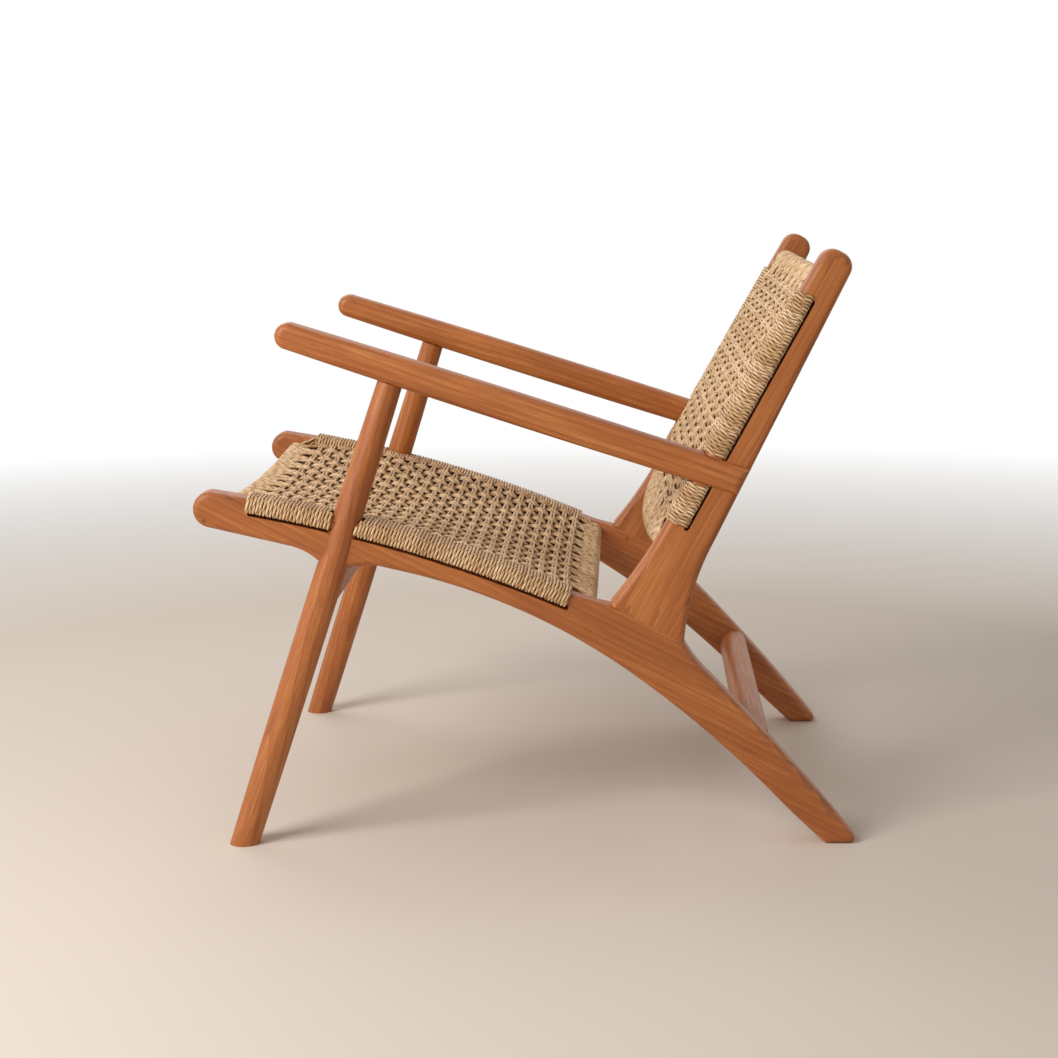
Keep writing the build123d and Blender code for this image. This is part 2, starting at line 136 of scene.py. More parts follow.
class Graph:
    """A short way to write a material's node tree."""

    def __init__(self, name: str) -> None:
        """Starts a material with one plain surface.

        Args:
            name: The material's name.
        """
        self.material = bpy.data.materials.new(name)
        self.material.use_nodes = True
        self.tree = self.material.node_tree
        self.tree.nodes.clear()
        self.output = self.add("OutputMaterial")
        self.shader = self.add("BsdfPrincipled")
        self.link(self.shader.outputs["BSDF"], self.output.inputs["Surface"])

    def add(self, kind: str) -> bpy.types.Node:
        """Adds a shader node of one kind."""
        return self.tree.nodes.new("ShaderNode" + kind)

    def link(self, source: Socket, target: Socket) -> None:
        """Joins one socket to another."""
        self.tree.links.new(source, target)

    def feed(self, socket: Socket, value: object) -> None:
        """Gives a socket its value.

        Args:
            socket: The socket to set.
            value: A number, a tuple or another node's socket.
        """
        if isinstance(value, bpy.types.NodeSocket):
            self.link(value, socket)
        else:
            socket.default_value = value

    def surface(self, name: str, value: object) -> None:
        """Gives one of the surface's own sockets its value."""
        self.feed(self.shader.inputs[name], value)

    def local(self, turn: Triple = ORIGIN, shift: Triple = ORIGIN, scale: Triple = EVEN) -> Socket:
        """Object coordinates moved, turned and stretched.

        Args:
            turn: Rotation in degrees about X, Y and Z.
            shift: Point that becomes the pattern's origin, in metres.
            scale: Stretch along the turned axes.

        Returns:
            The vector socket of the placed coordinates.
        """
        vector = self.add("TexCoord").outputs["Object"]
        moved = [-x for x in shift]
        turned = [math.radians(x) for x in turn]
        for name, value in (("Location", moved), ("Rotation", turned), ("Scale", scale)):
            step = self.add("Mapping")
            step.inputs[name].default_value = value
            self.link(vector, step.inputs["Vector"])
            vector = step.outputs["Vector"]
        return vector

    def noise(self, vector: Socket, figure: Figure) -> Socket:
        """Noise between 0 and 1.

        Args:
            vector: Place that it is read at.
            figure: The noise.

        Returns:
            The socket of the noise.
        """
        node = self.add("TexNoise")
        node.inputs["Scale"].default_value = figure.scale
        node.inputs["Detail"].default_value = figure.detail
        node.inputs["Roughness"].default_value = figure.rough
        node.inputs["Distortion"].default_value = figure.warp
        self.link(vector, node.inputs["Vector"])
        return node.outputs["Fac"]

    def calc(self, kind: str, *values: object, clamp: bool = False) -> Socket:
        """Sum, product or other result of up to three values.

        Args:
            kind: What is worked out.
            values: Numbers or sockets.
            clamp: True to keep the result between 0 and 1.

        Returns:
            The socket of the result.
        """
        node = self.add("Math")
        node.operation = kind
        node.use_clamp = clamp
        for socket, value in zip(node.inputs, values):
            self.feed(socket, value)
        return node.outputs[0]

    def weighted(self, *terms: tuple[Socket, float]) -> Socket:
        """Sum of sockets, each times its weight.

        Args:
            terms: Sockets and their weights.

        Returns:
            The socket of the sum.
        """
        *first, total = [self.calc("MULTIPLY", value, weight) for value, weight in terms]
        for part in reversed(first):
            total = self.calc("ADD", part, total)
        return total

    def ramp(self, value: Socket, stops: Sequence[Stop]) -> Socket:
        """Colour ramp.

        Args:
            value: Place on the ramp, 0 to 1.
            stops: Places and their colours, in order.

        Returns:
            The colour socket.
        """
        node = self.add("ValToRGB")
        band = node.color_ramp
        while len(band.elements) < len(stops):
            band.elements.new(0.5)
        for element, (place, colour) in zip(band.elements, stops):
            element.position = place
            element.color = (*colour, 1.0)
        self.link(value, node.inputs["Fac"])
        return node.outputs["Color"]

    def blend(self, kind: str, share: object, base: Socket, over: object) -> Socket:
        """Lays one colour over another.

        Args:
            kind: How the two are mixed.
            share: How much of the second shows, as a number or a socket.
            base: The first colour.
            over: The second colour, as a tuple or a socket.

        Returns:
            The colour socket.
        """
        node = self.add("Mix")
        node.data_type = "RGBA"
        node.blend_type = kind
        share_in, base_in, over_in = node.inputs[0], node.inputs[6], node.inputs[7]
        self.feed(share_in, share)
        self.feed(base_in, base)
        self.feed(over_in, (*over, 1.0) if isinstance(over, tuple) else over)
        return node.outputs[2]

    def bump(self, height: Socket, strength: float, reach: float) -> None:
        """Raises the surface a little.

        Args:
            height: Height of the relief, 0 to 1.
            strength: How much of it shows.
            reach: Height that 1 stands for, in metres.
        """
        node = self.add("Bump")
        node.inputs["Strength"].default_value = strength
        node.inputs["Distance"].default_value = reach
        self.link(height, node.inputs["Height"])
        self.surface("Normal", node.outputs["Normal"])


@dataclass(frozen=True)
class Teak:
    """Oiled teak with its grain along one direction of a timber.

    Attributes:
        name: The material's name.
        turn: Turn that lays the grain along X, in degrees.
        heart: A point on the heart of the tree, in metres.
        tint: Brightness of this timber beside the others.
        wander: How far the rings stray.
        knots: Place and size of each knot, in metres.
    """

    name: str
    turn: Triple = ORIGIN
    heart: Triple = ORIGIN
    tint: float = 1.0
    wander: float = 3.4
    knots: tuple[Knot, ...] = ()
    ring_pitch: float = 0.0085
    ring_edge: float = 2.6
    ring_share: float = 0.17
    ring_fade: float = 1.7
    streak_share: float = 0.42
    broad_share: float = 0.5
    wave: Figure = Figure(3.0, 0.55, stretch=(2.2, 17.0, 17.0), warp=0.4)
    fading: Figure = Figure(2.0, 0.5, stretch=(3.0, 60.0, 60.0))
    streak: Figure = Figure(4.0, 0.62, stretch=(9.0, 420.0, 420.0))
    broad: Figure = Figure(4.0, 0.6, stretch=(3.4, 30.0, 30.0), warp=0.5)
    pore: Figure = Figure(1.0, 0.4, stretch=(30.0, 1100.0, 1100.0))
    patch: Figure = Figure(2.0, 0.5, scale=6.0)
    ragged: Figure = Figure(3.0, 0.6, scale=2.4)
    worn: Figure = Figure(3.0, 0.6, scale=14.0)
    pore_from: float = 0.66
    pore_share: float = 0.34
    stops: Triple = (0.24, 0.50, 0.86)
    light: Triple = (0.65, 0.268, 0.080)
    middle: Triple = (0.43, 0.132, 0.027)
    dark: Triple = (0.19, 0.050, 0.010)
    pore_colour: Triple = (0.42, 0.32, 0.25)
    knot_colour: Triple = (0.045, 0.017, 0.008)
    patch_dark: Triple = (0.86, 0.82, 0.78)
    patch_light: Triple = (1.08, 1.09, 1.10)
    patch_stops: Pair = (0.3, 0.7)
    knot_reach: float = 1.45
    knot_bite: float = 1.3
    knot_share: float = 0.9
    gloss: Pair = (0.29, 0.22)
    streak_gloss: float = 0.14
    specular: float = 0.5
    relief: Triple = (0.6, 0.5, 0.16)
    relief_reach: float = 0.0004

    def drawn(self, g: Graph, figure: Figure) -> Socket:
        """Noise drawn out along this timber's own grain."""
        return g.noise(g.local(self.turn, self.heart, figure.stretch), figure)

    def rings(self, g: Graph) -> Socket:
        """Dark late wood of the growth rings.

        Args:
            g: The material's node tree.

        Returns:
            Strength of the dark wood, 0 to 1.
        """
        split = g.add("SeparateXYZ")
        g.link(g.local(self.turn, self.heart), split.inputs["Vector"])
        square = [g.calc("POWER", g.calc("ABSOLUTE", split.outputs[axis]), 2.0) for axis in ("Y", "Z")]
        radius = g.calc("SQRT", g.calc("ADD", *square))
        stray = g.calc("MULTIPLY", self.drawn(g, self.wave), self.wander)
        phase = g.calc("MULTIPLY_ADD", radius, 1.0 / self.ring_pitch, stray)
        edge = g.calc("POWER", g.calc("FRACT", phase), self.ring_edge)
        fading = g.calc("MULTIPLY", self.drawn(g, self.fading), self.ring_fade, clamp=True)
        return g.calc("MULTIPLY", edge, fading)

    def knot_mask(self, g: Graph) -> Socket:
        """Dark spots where the knots lie.

        Args:
            g: The material's node tree.

        Returns:
            Strength of the spots, 0 to 1.
        """
        spots = []
        for x, y, z, size in self.knots:
            place = g.local(shift=(x, y, z), scale=(1 / size, 1 / size, 1 / size))
            length = g.add("VectorMath")
            length.operation = "LENGTH"
            g.link(place, length.inputs[0])
            ragged = g.calc("MULTIPLY", g.noise(place, self.ragged), self.knot_bite)
            away = g.calc("ADD", length.outputs["Value"], ragged)
            spots.append(g.calc("SUBTRACT", self.knot_reach, away, clamp=True))
        mask = spots[0]
        for spot in spots[1:]:
            mask = g.calc("MAXIMUM", mask, spot)
        return mask

    def colour(self, g: Graph, streak: Socket, pitted: Socket) -> Socket:
        """Colour of the wood with its rings, pores, patches and knots.

        Args:
            g: The material's node tree.
            streak: Fine streaks along the grain.
            pitted: 1 in an open pore.

        Returns:
            The colour socket.
        """
        broad = self.drawn(g, self.broad)
        figure = g.weighted(
            (self.rings(g), self.ring_share), (streak, self.streak_share), (broad, self.broad_share)
        )
        colour = g.ramp(figure, list(zip(self.stops, (self.light, self.middle, self.dark))))
        colour = g.blend("MULTIPLY", g.calc("MULTIPLY", pitted, self.pore_share), colour, self.pore_colour)
        tones = [tuple(self.tint * part for part in tone) for tone in (self.patch_dark, self.patch_light)]
        patches = g.ramp(g.noise(g.local(), self.patch), list(zip(self.patch_stops, tones)))
        colour = g.blend("MULTIPLY", 1.0, colour, patches)
        if self.knots:
            share = g.calc("MULTIPLY", self.knot_mask(g), self.knot_share)
            colour = g.blend("MIX", share, colour, self.knot_colour)
        return colour

    def build(self) -> bpy.types.Material:
        """Makes the material.

        Returns:
            The finished teak.
        """
        g = Graph(self.name)
        streak = self.drawn(g, self.streak)
        pitted = g.calc("GREATER_THAN", self.drawn(g, self.pore), self.pore_from)
        g.surface("Base Color", self.colour(g, streak, pitted))
        least, spread = self.gloss
        worn = g.calc("MULTIPLY_ADD", g.noise(g.local(), self.worn), spread, least)
        g.surface("Roughness", g.calc("ADD", g.calc("MULTIPLY", streak, self.streak_gloss), worn))
        g.surface("Specular IOR Level", self.specular)
        rise, sink, strength = self.relief
        height = g.calc("SUBTRACT", g.calc("MULTIPLY", streak, rise), g.calc("MULTIPLY", pitted, sink))
        g.bump(height, strength, self.relief_reach)
        return g.material


@dataclass(frozen=True)
class PaperCord:
    """Two-ply twisted paper cord, straw coloured, with painted shade in the grooves between the plies and a
    painted highlight on their crests.

    It reads each cord's own length, turn and tone, and the painted shade of its side that faces into the weave
    and of its depth in the weave.
    """

    name: str = "paper_cord"
    stops: Triple = (0.28, 0.50, 0.78)
    # Painted shade in the grooves between the plies, and a painted highlight where the ramp rises over 1 on
    # the plies' crests.
    ply_shade_and_highlight: tuple[Stop, ...] = (
        (0.0, (0.20, 0.13, 0.07)),
        (0.30, (0.72, 0.63, 0.54)),
        (0.62, (1.0, 0.98, 0.95)),
        (1.0, (1.08, 1.07, 1.04)),
    )
    # Painted shade for a cord's side that faces into the weave and for its depth in the weave.
    painted_weave_shade: tuple[Stop, ...] = (
        (0.12, (1.0, 1.0, 1.0)),
        (0.40, (0.74, 0.66, 0.57)),
        (0.85, (0.11, 0.065, 0.035)),
    )
    brown: Triple = (0.36, 0.190, 0.085)
    straw: Triple = (0.69, 0.462, 0.258)
    cream: Triple = (0.97, 0.79, 0.57)
    fibre_stretch: Triple = (70.0, 1.6, 60.0)
    fibre: Figure = Figure(3.0, 0.6, scale=2.6)
    fibre_share: float = 0.52
    tone_share: float = 0.22
    slow: Figure = Figure(3.0, 0.55, scale=16.0)
    slow_share: float = 0.30
    roughness: float = 0.56
    specular: float = 0.3
    fibre_relief: float = 0.4
    relief: float = 0.6
    relief_reach: float = 0.0006

    def build(self) -> bpy.types.Material:
        """Makes the material.

        Returns:
            The finished cord.
        """
        g = Graph(self.name)
        lay = g.add("Attribute")
        lay.attribute_name = LAY
        split = g.add("SeparateColor")
        g.link(lay.outputs["Color"], split.inputs["Color"])
        run, turn, tone = split.outputs
        mixed = g.add("CombineXYZ")
        for source, stretch, target in zip((run, turn, tone), self.fibre_stretch, mixed.inputs):
            g.link(g.calc("MULTIPLY", source, stretch), target)
        fibre = g.noise(mixed.outputs["Vector"], self.fibre)
        slow = g.noise(g.local(), self.slow)
        shade = g.weighted((fibre, self.fibre_share), (tone, self.tone_share), (slow, self.slow_share))
        colour = g.ramp(shade, list(zip(self.stops, (self.brown, self.straw, self.cream))))
        ply = g.calc("ABSOLUTE", g.calc("SINE", turn))
        # Painted shade in the ply grooves and a painted highlight on the ply crests.
        colour = g.blend("MULTIPLY", 1.0, colour, g.ramp(ply, self.ply_shade_and_highlight))
        # Painted shade: darkens each cord on its side that faces into the weave and where it lies deep in the
        # weave.
        colour = g.blend("MULTIPLY", 1.0, colour, g.ramp(lay.outputs["Alpha"], self.painted_weave_shade))
        g.surface("Base Color", colour)
        g.surface("Roughness", self.roughness)
        g.surface("Specular IOR Level", self.specular)
        fibres = g.calc("MULTIPLY", fibre, self.fibre_relief)
        g.bump(g.calc("ADD", ply, fibres), self.relief, self.relief_reach)
        return g.material


def unit(vector: np.ndarray) -> np.ndarray:
    """The vector at length one."""
    return vector / np.linalg.norm(vector)


def smooth(x: np.ndarray) -> np.ndarray:
    """Smooth step from 0 to 1."""
    x = np.clip(x, 0.0, 1.0)
    return x * x * (3 - 2 * x)


def quarter(
    centre: np.ndarray, first: np.ndarray, last: np.ndarray, radius: float, count: int = 8
) -> np.ndarray:
    """Points of a quarter circle.

    Args:
        centre: Centre of the circle.
        first: Direction of its first point.
        last: Direction of its last point.
        radius: Radius of the circle.
        count: Number of points.

    Returns:
        The points, one a row.
    """
    t = np.radians(np.linspace(0, 90, count))[:, None]
    return centre + radius * (np.cos(t) * first + np.sin(t) * last)


def mesh_object(name: str, points: np.ndarray, quads: np.ndarray, lays: np.ndarray) -> bpy.types.Object:
    """Makes a smooth mesh of four-sided faces with the cords' own coordinates.

    Args:
        name: The object's name.
        points: Vertices, in metres.
        quads: Four vertex numbers for each face.
        lays: Length, turn, tone and painted shade at each face corner.

    Returns:
        The new object, linked to the scene.
    """
    mesh = bpy.data.meshes.new(name)
    mesh.vertices.add(len(points))
    mesh.vertices.foreach_set("co", points.astype(np.float32).ravel())
    mesh.loops.add(quads.size)
    mesh.loops.foreach_set("vertex_index", quads.astype(np.int32).ravel())
    mesh.polygons.add(len(quads))
    mesh.polygons.foreach_set("loop_start", np.arange(0, quads.size, 4, dtype=np.int32))
    mesh.polygons.foreach_set("use_smooth", np.ones(len(quads), dtype=bool))
    lay = mesh.attributes.new(LAY, "FLOAT_COLOR", "CORNER")
    lay.data.foreach_set("color", lays.astype(np.float32).ravel())
    mesh.update()
    mesh.validate()
    made = bpy.data.objects.new(name, mesh)
    bpy.context.scene.collection.objects.link(made)
    return made


def dress(piece: bpy.types.Object, finish: bpy.types.Material) -> None:
    """Gives a piece its finish and reports it.

    Args:
        piece: The piece.
        finish: Its material.
    """
    piece.data.materials.clear()
    piece.data.materials.append(finish)
    LOG.info("%s: %s", piece.name, finish.name)


@dataclass(frozen=True)
class Run:
    """One length of cord to be made.

    Attributes:
        path: Points of its centre line in millimetres, and its depth in the weave, 0 to 1.
        across: Direction square to the plane that the path lies in.
        fine: Number of leading points that are seen closely.
        closed: True for a closed loop.
    """

    path: np.ndarray
    across: np.ndarray
    fine: int
    closed: bool


@dataclass
class Cords:
    """A bundle of cords that becomes one mesh of twisted two-ply tubes.

    Attributes:
        name: The piece's name.
        coarse: Step between rings where a cord is seldom seen.
        radius: Radius over the plies.
        sides: Corners of one ring.
        step: Step between rings where a cord is seen closely.
        relief: Half the depth of the groove between the plies, as a share of the radius.
        waist: How much the cord thins where it shows its twist, as a share of the relief.
        twist: Length of one whole turn of the twist.
        fade: Length over which the twist fades into the plain stretch.
        inner_painted_shade, inner_power: Painted shade on the side of the cord that faces into the weave, and
            how suddenly it starts.
        low_painted_shade: Painted shade on a cord at the bottom of the weave.
        runs: The lengths laid so far.
    """

    name: str
    coarse: float
    radius: float = 1.95
    sides: int = 8
    step: float = 2.3
    relief: float = 0.13
    waist: float = 0.45
    twist: float = 24.0
    fade: float = 8.0
    inner_painted_shade: float = 1.05
    inner_power: float = 1.3
    low_painted_shade: float = 0.38
    runs: list[Run] = field(default_factory=list)

    def lay(self, path: np.ndarray, across: np.ndarray, fine: int, hidden: np.ndarray | None = None) -> None:
        """Adds one closed loop of cord, or what is left of it outside the timbers.

        Args:
            path: Points of its centre line and their depth in the weave.
            across: Direction square to the plane that the path lies in.
            fine: Number of leading points that are seen closely.
            hidden: True for points that lie inside a timber.
        """
        if hidden is None or not hidden.any():
            self.runs.append(Run(path, across, fine, closed=True))
            return
        count = len(path)
        first = int(np.argmax(hidden & ~np.roll(hidden, -1))) + 1
        order = (np.arange(count) + first) % count
        kept = path[order][~hidden[order]]
        self.runs.append(Run(kept, across, len(kept), closed=False))

    def sampled(self, run: Run) -> tuple[np.ndarray, np.ndarray, np.ndarray]:
        """Spaces the rings of a cord evenly.

        Args:
            run: The length of cord.

        Returns:
            Path rows of the rings, their distance along the path with its whole length last, and
            their share of the relief.
        """
        least_close, least_coarse, same, past = 6, 3, 1e-6, 1.0
        path = np.vstack([run.path, run.path[:1]]) if run.closed else run.path
        gaps = np.linalg.norm(np.diff(path[:, :3], axis=0), axis=1)
        along = np.r_[0.0, np.cumsum(gaps)]
        near = along[min(run.fine, len(along) - 1)]
        rest = along[-1] - near
        at = np.linspace(0.0, near, max(least_close, int(round(near / self.step))) + 1)
        if rest > self.coarse:
            steps = max(least_coarse, int(round(rest / self.coarse)))
            at = np.r_[at, np.linspace(near, along[-1], steps + 1)[1:]]
        if run.closed:
            at = at[:-1]
        keep = np.r_[True, gaps > same]
        rows = np.stack([np.interp(at, along[keep], column[keep]) for column in path.T], axis=1)
        share = smooth((near + past - at) / self.fade) if rest > self.coarse else np.ones_like(at)
        return rows, np.r_[at, along[-1]], share

    def square(self, line: np.ndarray, run: Run) -> tuple[np.ndarray, np.ndarray]:
        """Directions square to a cord.

        Args:
            line: Centres of its rings.
            run: The length of cord.

        Returns:
            The outward direction and the sideways direction at each ring.
        """
        ahead = np.roll(line, -1, 0) - np.roll(line, 1, 0) if run.closed else np.gradient(line, axis=0)
        ahead /= np.linalg.norm(ahead, axis=1)[:, None]
        out = np.cross(ahead, run.across)
        out /= np.linalg.norm(out, axis=1)[:, None]
        if np.sum(out * (line - line.mean(0))) < 0:
            out = -out
        return out, np.cross(ahead, out)

    def tube(self, run: Run, random: np.random.Generator) -> tuple[np.ndarray, np.ndarray, np.ndarray]:
        """Makes the tube of one length of cord.

        Args:
            run: The length of cord.
            random: Source of its tone and starting turn.

        Returns:
            Its corners, its faces and the cord coordinates at each face corner.
        """
        rows, at, share = self.sampled(run)
        line, low = rows[:, :3], rows[:, 3]
        count = len(line)
        out, side = self.square(line, run)
        tone, start = random.random(), random.random() * math.pi
        half_turns = max(1.0, round(2 * at[-1] / self.twist))
        spin = start + math.pi * half_turns * at / at[-1]
        ring = np.arange(self.sides)
        wedge = 2 * math.pi / self.sides
        angle = wedge * ring
        plies = self.waist + np.cos(2 * (angle[None, :] - spin[:count, None]))
        swell = self.radius * (1 - self.relief * share[:, None] * plies)
        around = np.cos(angle)[:, None] * out[:, None, :] + np.sin(angle)[:, None] * side[:, None, :]
        corners = (line[:, None, :] + swell[..., None] * around).reshape(-1, 3)
        i = np.arange(count if run.closed else count - 1)
        j = (i + 1) % count
        here, ahead = i[:, None] * self.sides, j[:, None] * self.sides
        turned = (ring + 1) % self.sides
        quads = np.stack([here + ring, here + turned, ahead + turned, ahead + ring], axis=-1).reshape(-1, 4)
        inner = 0.5 - 0.5 * np.cos(angle)
        lays = np.empty((len(i), self.sides, 4, 4))
        for corner, (n, step, turn) in enumerate(((i, 0, 0), (i, 0, 1), (j, 1, 1), (j, 1, 0))):
            # Painted shade: darker on the side of the cord that faces into the weave, and where the cord lies
            # deep in the weave.
            dark = self.inner_painted_shade * inner[(ring + turn) % self.sides] ** self.inner_power
            lays[:, :, corner, 0] = (at[i + step] * MM)[:, None]
            lays[:, :, corner, 1] = angle[None, :] + turn * wedge - spin[i + step][:, None]
            lays[:, :, corner, 2] = tone
            lays[:, :, corner, 3] = np.clip(dark[None, :] + self.low_painted_shade * low[n][:, None], 0, 1)
        return corners, quads, lays.reshape(-1, 4)

    def build(self, random: np.random.Generator) -> bpy.types.Object:
        """Makes the mesh of all the cords laid.

        Args:
            random: Source of each cord's tone and starting turn.

        Returns:
            The new object.
        """
        corners, quads, lays, base = [], [], [], 0
        for run in self.runs:
            own_corners, own_quads, own_lays = self.tube(run, random)
            corners.append(own_corners)
            quads.append(own_quads + base)
            lays.append(own_lays)
            base += len(own_corners)
        made = mesh_object(self.name, np.vstack(corners) * MM, np.vstack(quads), np.vstack(lays))
        LOG.info("%s: %d cords, %d faces", self.name, len(self.runs), len(made.data.polygons))
        return made


@dataclass(frozen=True)
class CrossRail:
    """One cross rail as its end shows it, and how it bows between the side frames.

    Attributes:
        y, z: Middle of its section at the side frames.
        tilt: Turn of the section, in degrees.
        bow_y, bow_z: How far its middle lies from its ends.
        thick, wide: Size of the section.
        edge: Rounding of the section's corners.
        inner_x: Half of its length between the side frames.
    """

    y: float
    z: float
    tilt: float
    bow_y: float
    bow_z: float
    thick: float
    wide: float = 28.0
    edge: float = 8.5
    inner_x: float = 268.0

    def section(self, x: float) -> tuple[np.ndarray, np.ndarray, np.ndarray]:
        """Place of the section.

        Args:
            x: Place across the chair.

        Returns:
            Its centre, and its directions along and up.
        """
        share = 1 - (x / self.inner_x) ** 2
        c, s = math.cos(math.radians(self.tilt)), math.sin(math.radians(self.tilt))
        centre = np.array([x, self.y + share * self.bow_y, self.z + share * self.bow_z])
        return centre, np.array([0, c, s]), np.array([0, -s, c])

    def over(self, x: float, layer: Layer, off: float) -> np.ndarray:
        """Point at a distance off the middle of the rail's face or back."""
        centre, _, up = self.section(x)
        return centre + up * layer.value * (self.thick / 2 + off)

    def wrap(self, x: float, way: int, off: float) -> np.ndarray:
        """Half turn round the rail from the middle of its face to the middle of its back.

        Args:
            x: Place across the chair.
            way: 1 to go round the far side of the section's along direction, -1 for the near.
            off: Distance of the cord's centre from the wood.

        Returns:
            Points of the half turn.
        """
        centre, along, up = self.section(x)
        out = along * way
        flat = out * (self.wide / 2 - self.edge)
        rise = up * (self.thick / 2 - self.edge)
        upper = quarter(centre + flat + rise, up, out, self.edge + off)
        lower = quarter(centre + flat - rise, out, -up, self.edge + off)
        return np.vstack([self.over(x, Layer.FACE, off), upper, lower, self.over(x, Layer.BACK, off)])

    def loop(self, x: float, way: int, off: float) -> np.ndarray:
        """Whole turn round the rail, starting as wrap does."""
        return np.vstack([self.wrap(x, way, off), self.wrap(x, -way, off)[::-1]])


@dataclass(kw_only=True)
class WovenPanel:
    """Cords of one two-layer woven panel, laid between two cross rails and two slotted side strips.

    A place on a sheet is given across the chair, along the strip, and by its depth below the strip's
    outer edge. Warps run from rail to rail, wefts from strip to strip. Sizes are in millimetres.

    Attributes:
        name: Start of the names of the pieces.
        low, high: The two cross rails.
        slot_foot: Where the slot of the strips starts, as Y and Z.
        groups, warps, fill: Warp groups, warps in each, and turns that fill a rail for each.
        pairs: Number of weft pairs.
        first, pitch, span: Place of the first pair, distance between pairs, and length of the slot.
        sag: How much lower the middle of the sheet lies than its rails.
        coarse: Step between the rings of a cord on the hidden layer.
        cord: Thickness of a cord.
        inner_x, outer_x: Faces of the strips.
        edge: Rounding of the strips' outer edge.
        plain: Width of the unwoven margin beside the strips.
        wave: How far a cord rises and dips in the weave.
        bead: Half of the width over which a weft dives under a warp group.
        squeeze: How much a warp group closes up in the weave.
        pull: How far a warp group swings aside between two pairs.
        gather, end_swing: How much more it closes and swings beside a rail.
        pinch, closing: How much a weft pair opens and closes.
        slant: How far a turn round the strip climbs.
        shake: Size of each cord's own drift.
        jitter: Scatter of the turns round the strips.
        ease: Length over which the weave starts and ends.
        start: Where the slot starts along the strip.
    """

    name: str
    low: CrossRail
    high: CrossRail
    slot_foot: Pair
    groups: int
    warps: int
    fill: int
    pairs: int
    first: float
    pitch: float
    span: float
    sag: float
    coarse: float
    plain: float
    bead: float
    squeeze: float
    pull: float
    gather: float
    slant: float
    cord: float = 4.0
    inner_x: float = 268.0
    outer_x: float = 304.0
    edge: float = 8.0
    wave: float = 2.3
    end_swing: float = 1.7
    pinch: float = 0.35
    closing: float = 0.25
    shake: float = 0.45
    jitter: float = 0.12
    ease: float = 8.0
    start: float = field(init=False)

    def __post_init__(self) -> None:
        """Finds where the slot starts."""
        self.start = self.locate(np.array([0.0, *self.slot_foot]))[0]

    def place(self, x: float | np.ndarray, s: np.ndarray, depth: np.ndarray) -> np.ndarray:
        """Points of the panel at x, a distance s along the strip and a depth below its edge."""
        raise NotImplementedError

    def normal(self, s: float) -> np.ndarray:
        """Outward direction of the strip's edge at s."""
        raise NotImplementedError

    def along(self, s: float) -> np.ndarray:
        """Direction of the strip's edge at s."""
        raise NotImplementedError

    def strip(self, s: float) -> float:
        """Depth of the wood between the edge and the slot at s."""
        raise NotImplementedError

    def locate(self, point: np.ndarray) -> tuple[float, float]:
        """Distance along the strip and depth below its edge of a point."""
        raise NotImplementedError

    def inside_timber(self, path: np.ndarray) -> np.ndarray:
        """True for points that a crossing leg or arm takes up."""
        raise NotImplementedError

    def depth(self, x: np.ndarray, s: np.ndarray, layer: Layer) -> np.ndarray:
        """Depth of the middle of a woven sheet.

        Args:
            x: Places across the chair.
            s: Places along the strip.
            layer: The face or the hidden back.

        Returns:
            Depths below the strip's outer edge.
        """
        off = self.cord / 2
        rails = (self.low, self.high)
        ends = [self.locate(rail.over(at, layer, off)) for rail in rails for at in (self.inner_x, 0.0)]
        (s0, side0), (_, middle0), (s1, side1), (_, middle1) = ends
        middle, half = (s0 + s1) / 2, (s1 - s0) / 2
        out = ((s - middle) / half) ** 2
        level = -off if layer is Layer.FACE else self.strip(float(np.mean(s))) + off
        drop = np.where(s < middle, side0, side1) - level
        share = np.clip((s - s0) / (s1 - s0), 0, 1)
        dish = (middle0 - side0) * (1 - share) + (middle1 - side1) * share
        inward = 1 - (x / self.inner_x) ** 2
        free = smooth((self.inner_x - np.abs(x)) / self.plain)
        return level + drop * out * free + (dish + self.sag * (1 - out)) * inward

    def group_pitch(self) -> float:
        """Distance from one warp group to the next."""
        return 2 * self.inner_x / self.groups

    def group_x(self) -> np.ndarray:
        """Middle of each warp group across the chair."""
        return (np.arange(self.groups) - (self.groups - 1) / 2) * self.group_pitch()

    def row(self, s: np.ndarray) -> np.ndarray:
        """Place along the strip, counted in weft pairs from the first."""
        return (s - (self.start + self.first)) / self.pitch

    def warp_lift(self, x: float, s: np.ndarray) -> np.ndarray:
        """Height of a warp over the middle of the sheet.

        Args:
            x: Middle of its group.
            s: Places along the strip.

        Returns:
            1 on top and -1 below.
        """
        column = (x - self.group_x()[0]) / self.group_pitch()
        return np.cos(math.pi * column) * np.cos(math.pi * self.row(s))

    def weft_lift(self, x: np.ndarray, pair: int) -> np.ndarray:
        """Height of a weft pair, which floats over one warp group and dives under the next.

        Args:
            x: Places across the chair.
            pair: Number of the pair.

        Returns:
            1 on top and -1 below.
        """
        repeat, bend = 2 * self.group_pitch(), 6
        turn = (x - self.group_x()[0]) / repeat - (pair % 2) / 2
        away = np.abs(turn - np.round(turn)) * repeat
        return 1 - 2 * smooth((self.bead - away) / bend + 0.5)

    def low_down(self, lift: np.ndarray) -> np.ndarray:
        """How deep in the weave a cord lies, 0 to 1, for its height."""
        return np.clip(0.5 - 0.6 * lift, 0, 1)

    def drift(self, t: np.ndarray, random: np.random.Generator) -> np.ndarray:
        """Slow uneven drift of a cord.

        Args:
            t: Places along the cord.
            random: Source of the drift.

        Returns:
            Sideways shift at each place.
        """
        total, spread, waves, least, most = np.zeros_like(t), 1.6, (37.0, 61.0, 110.0), 0.3, 1.0
        for length in waves:
            total += np.sin(2 * math.pi * (t / length + random.random())) * random.uniform(least, most)
        return total * self.shake / spread

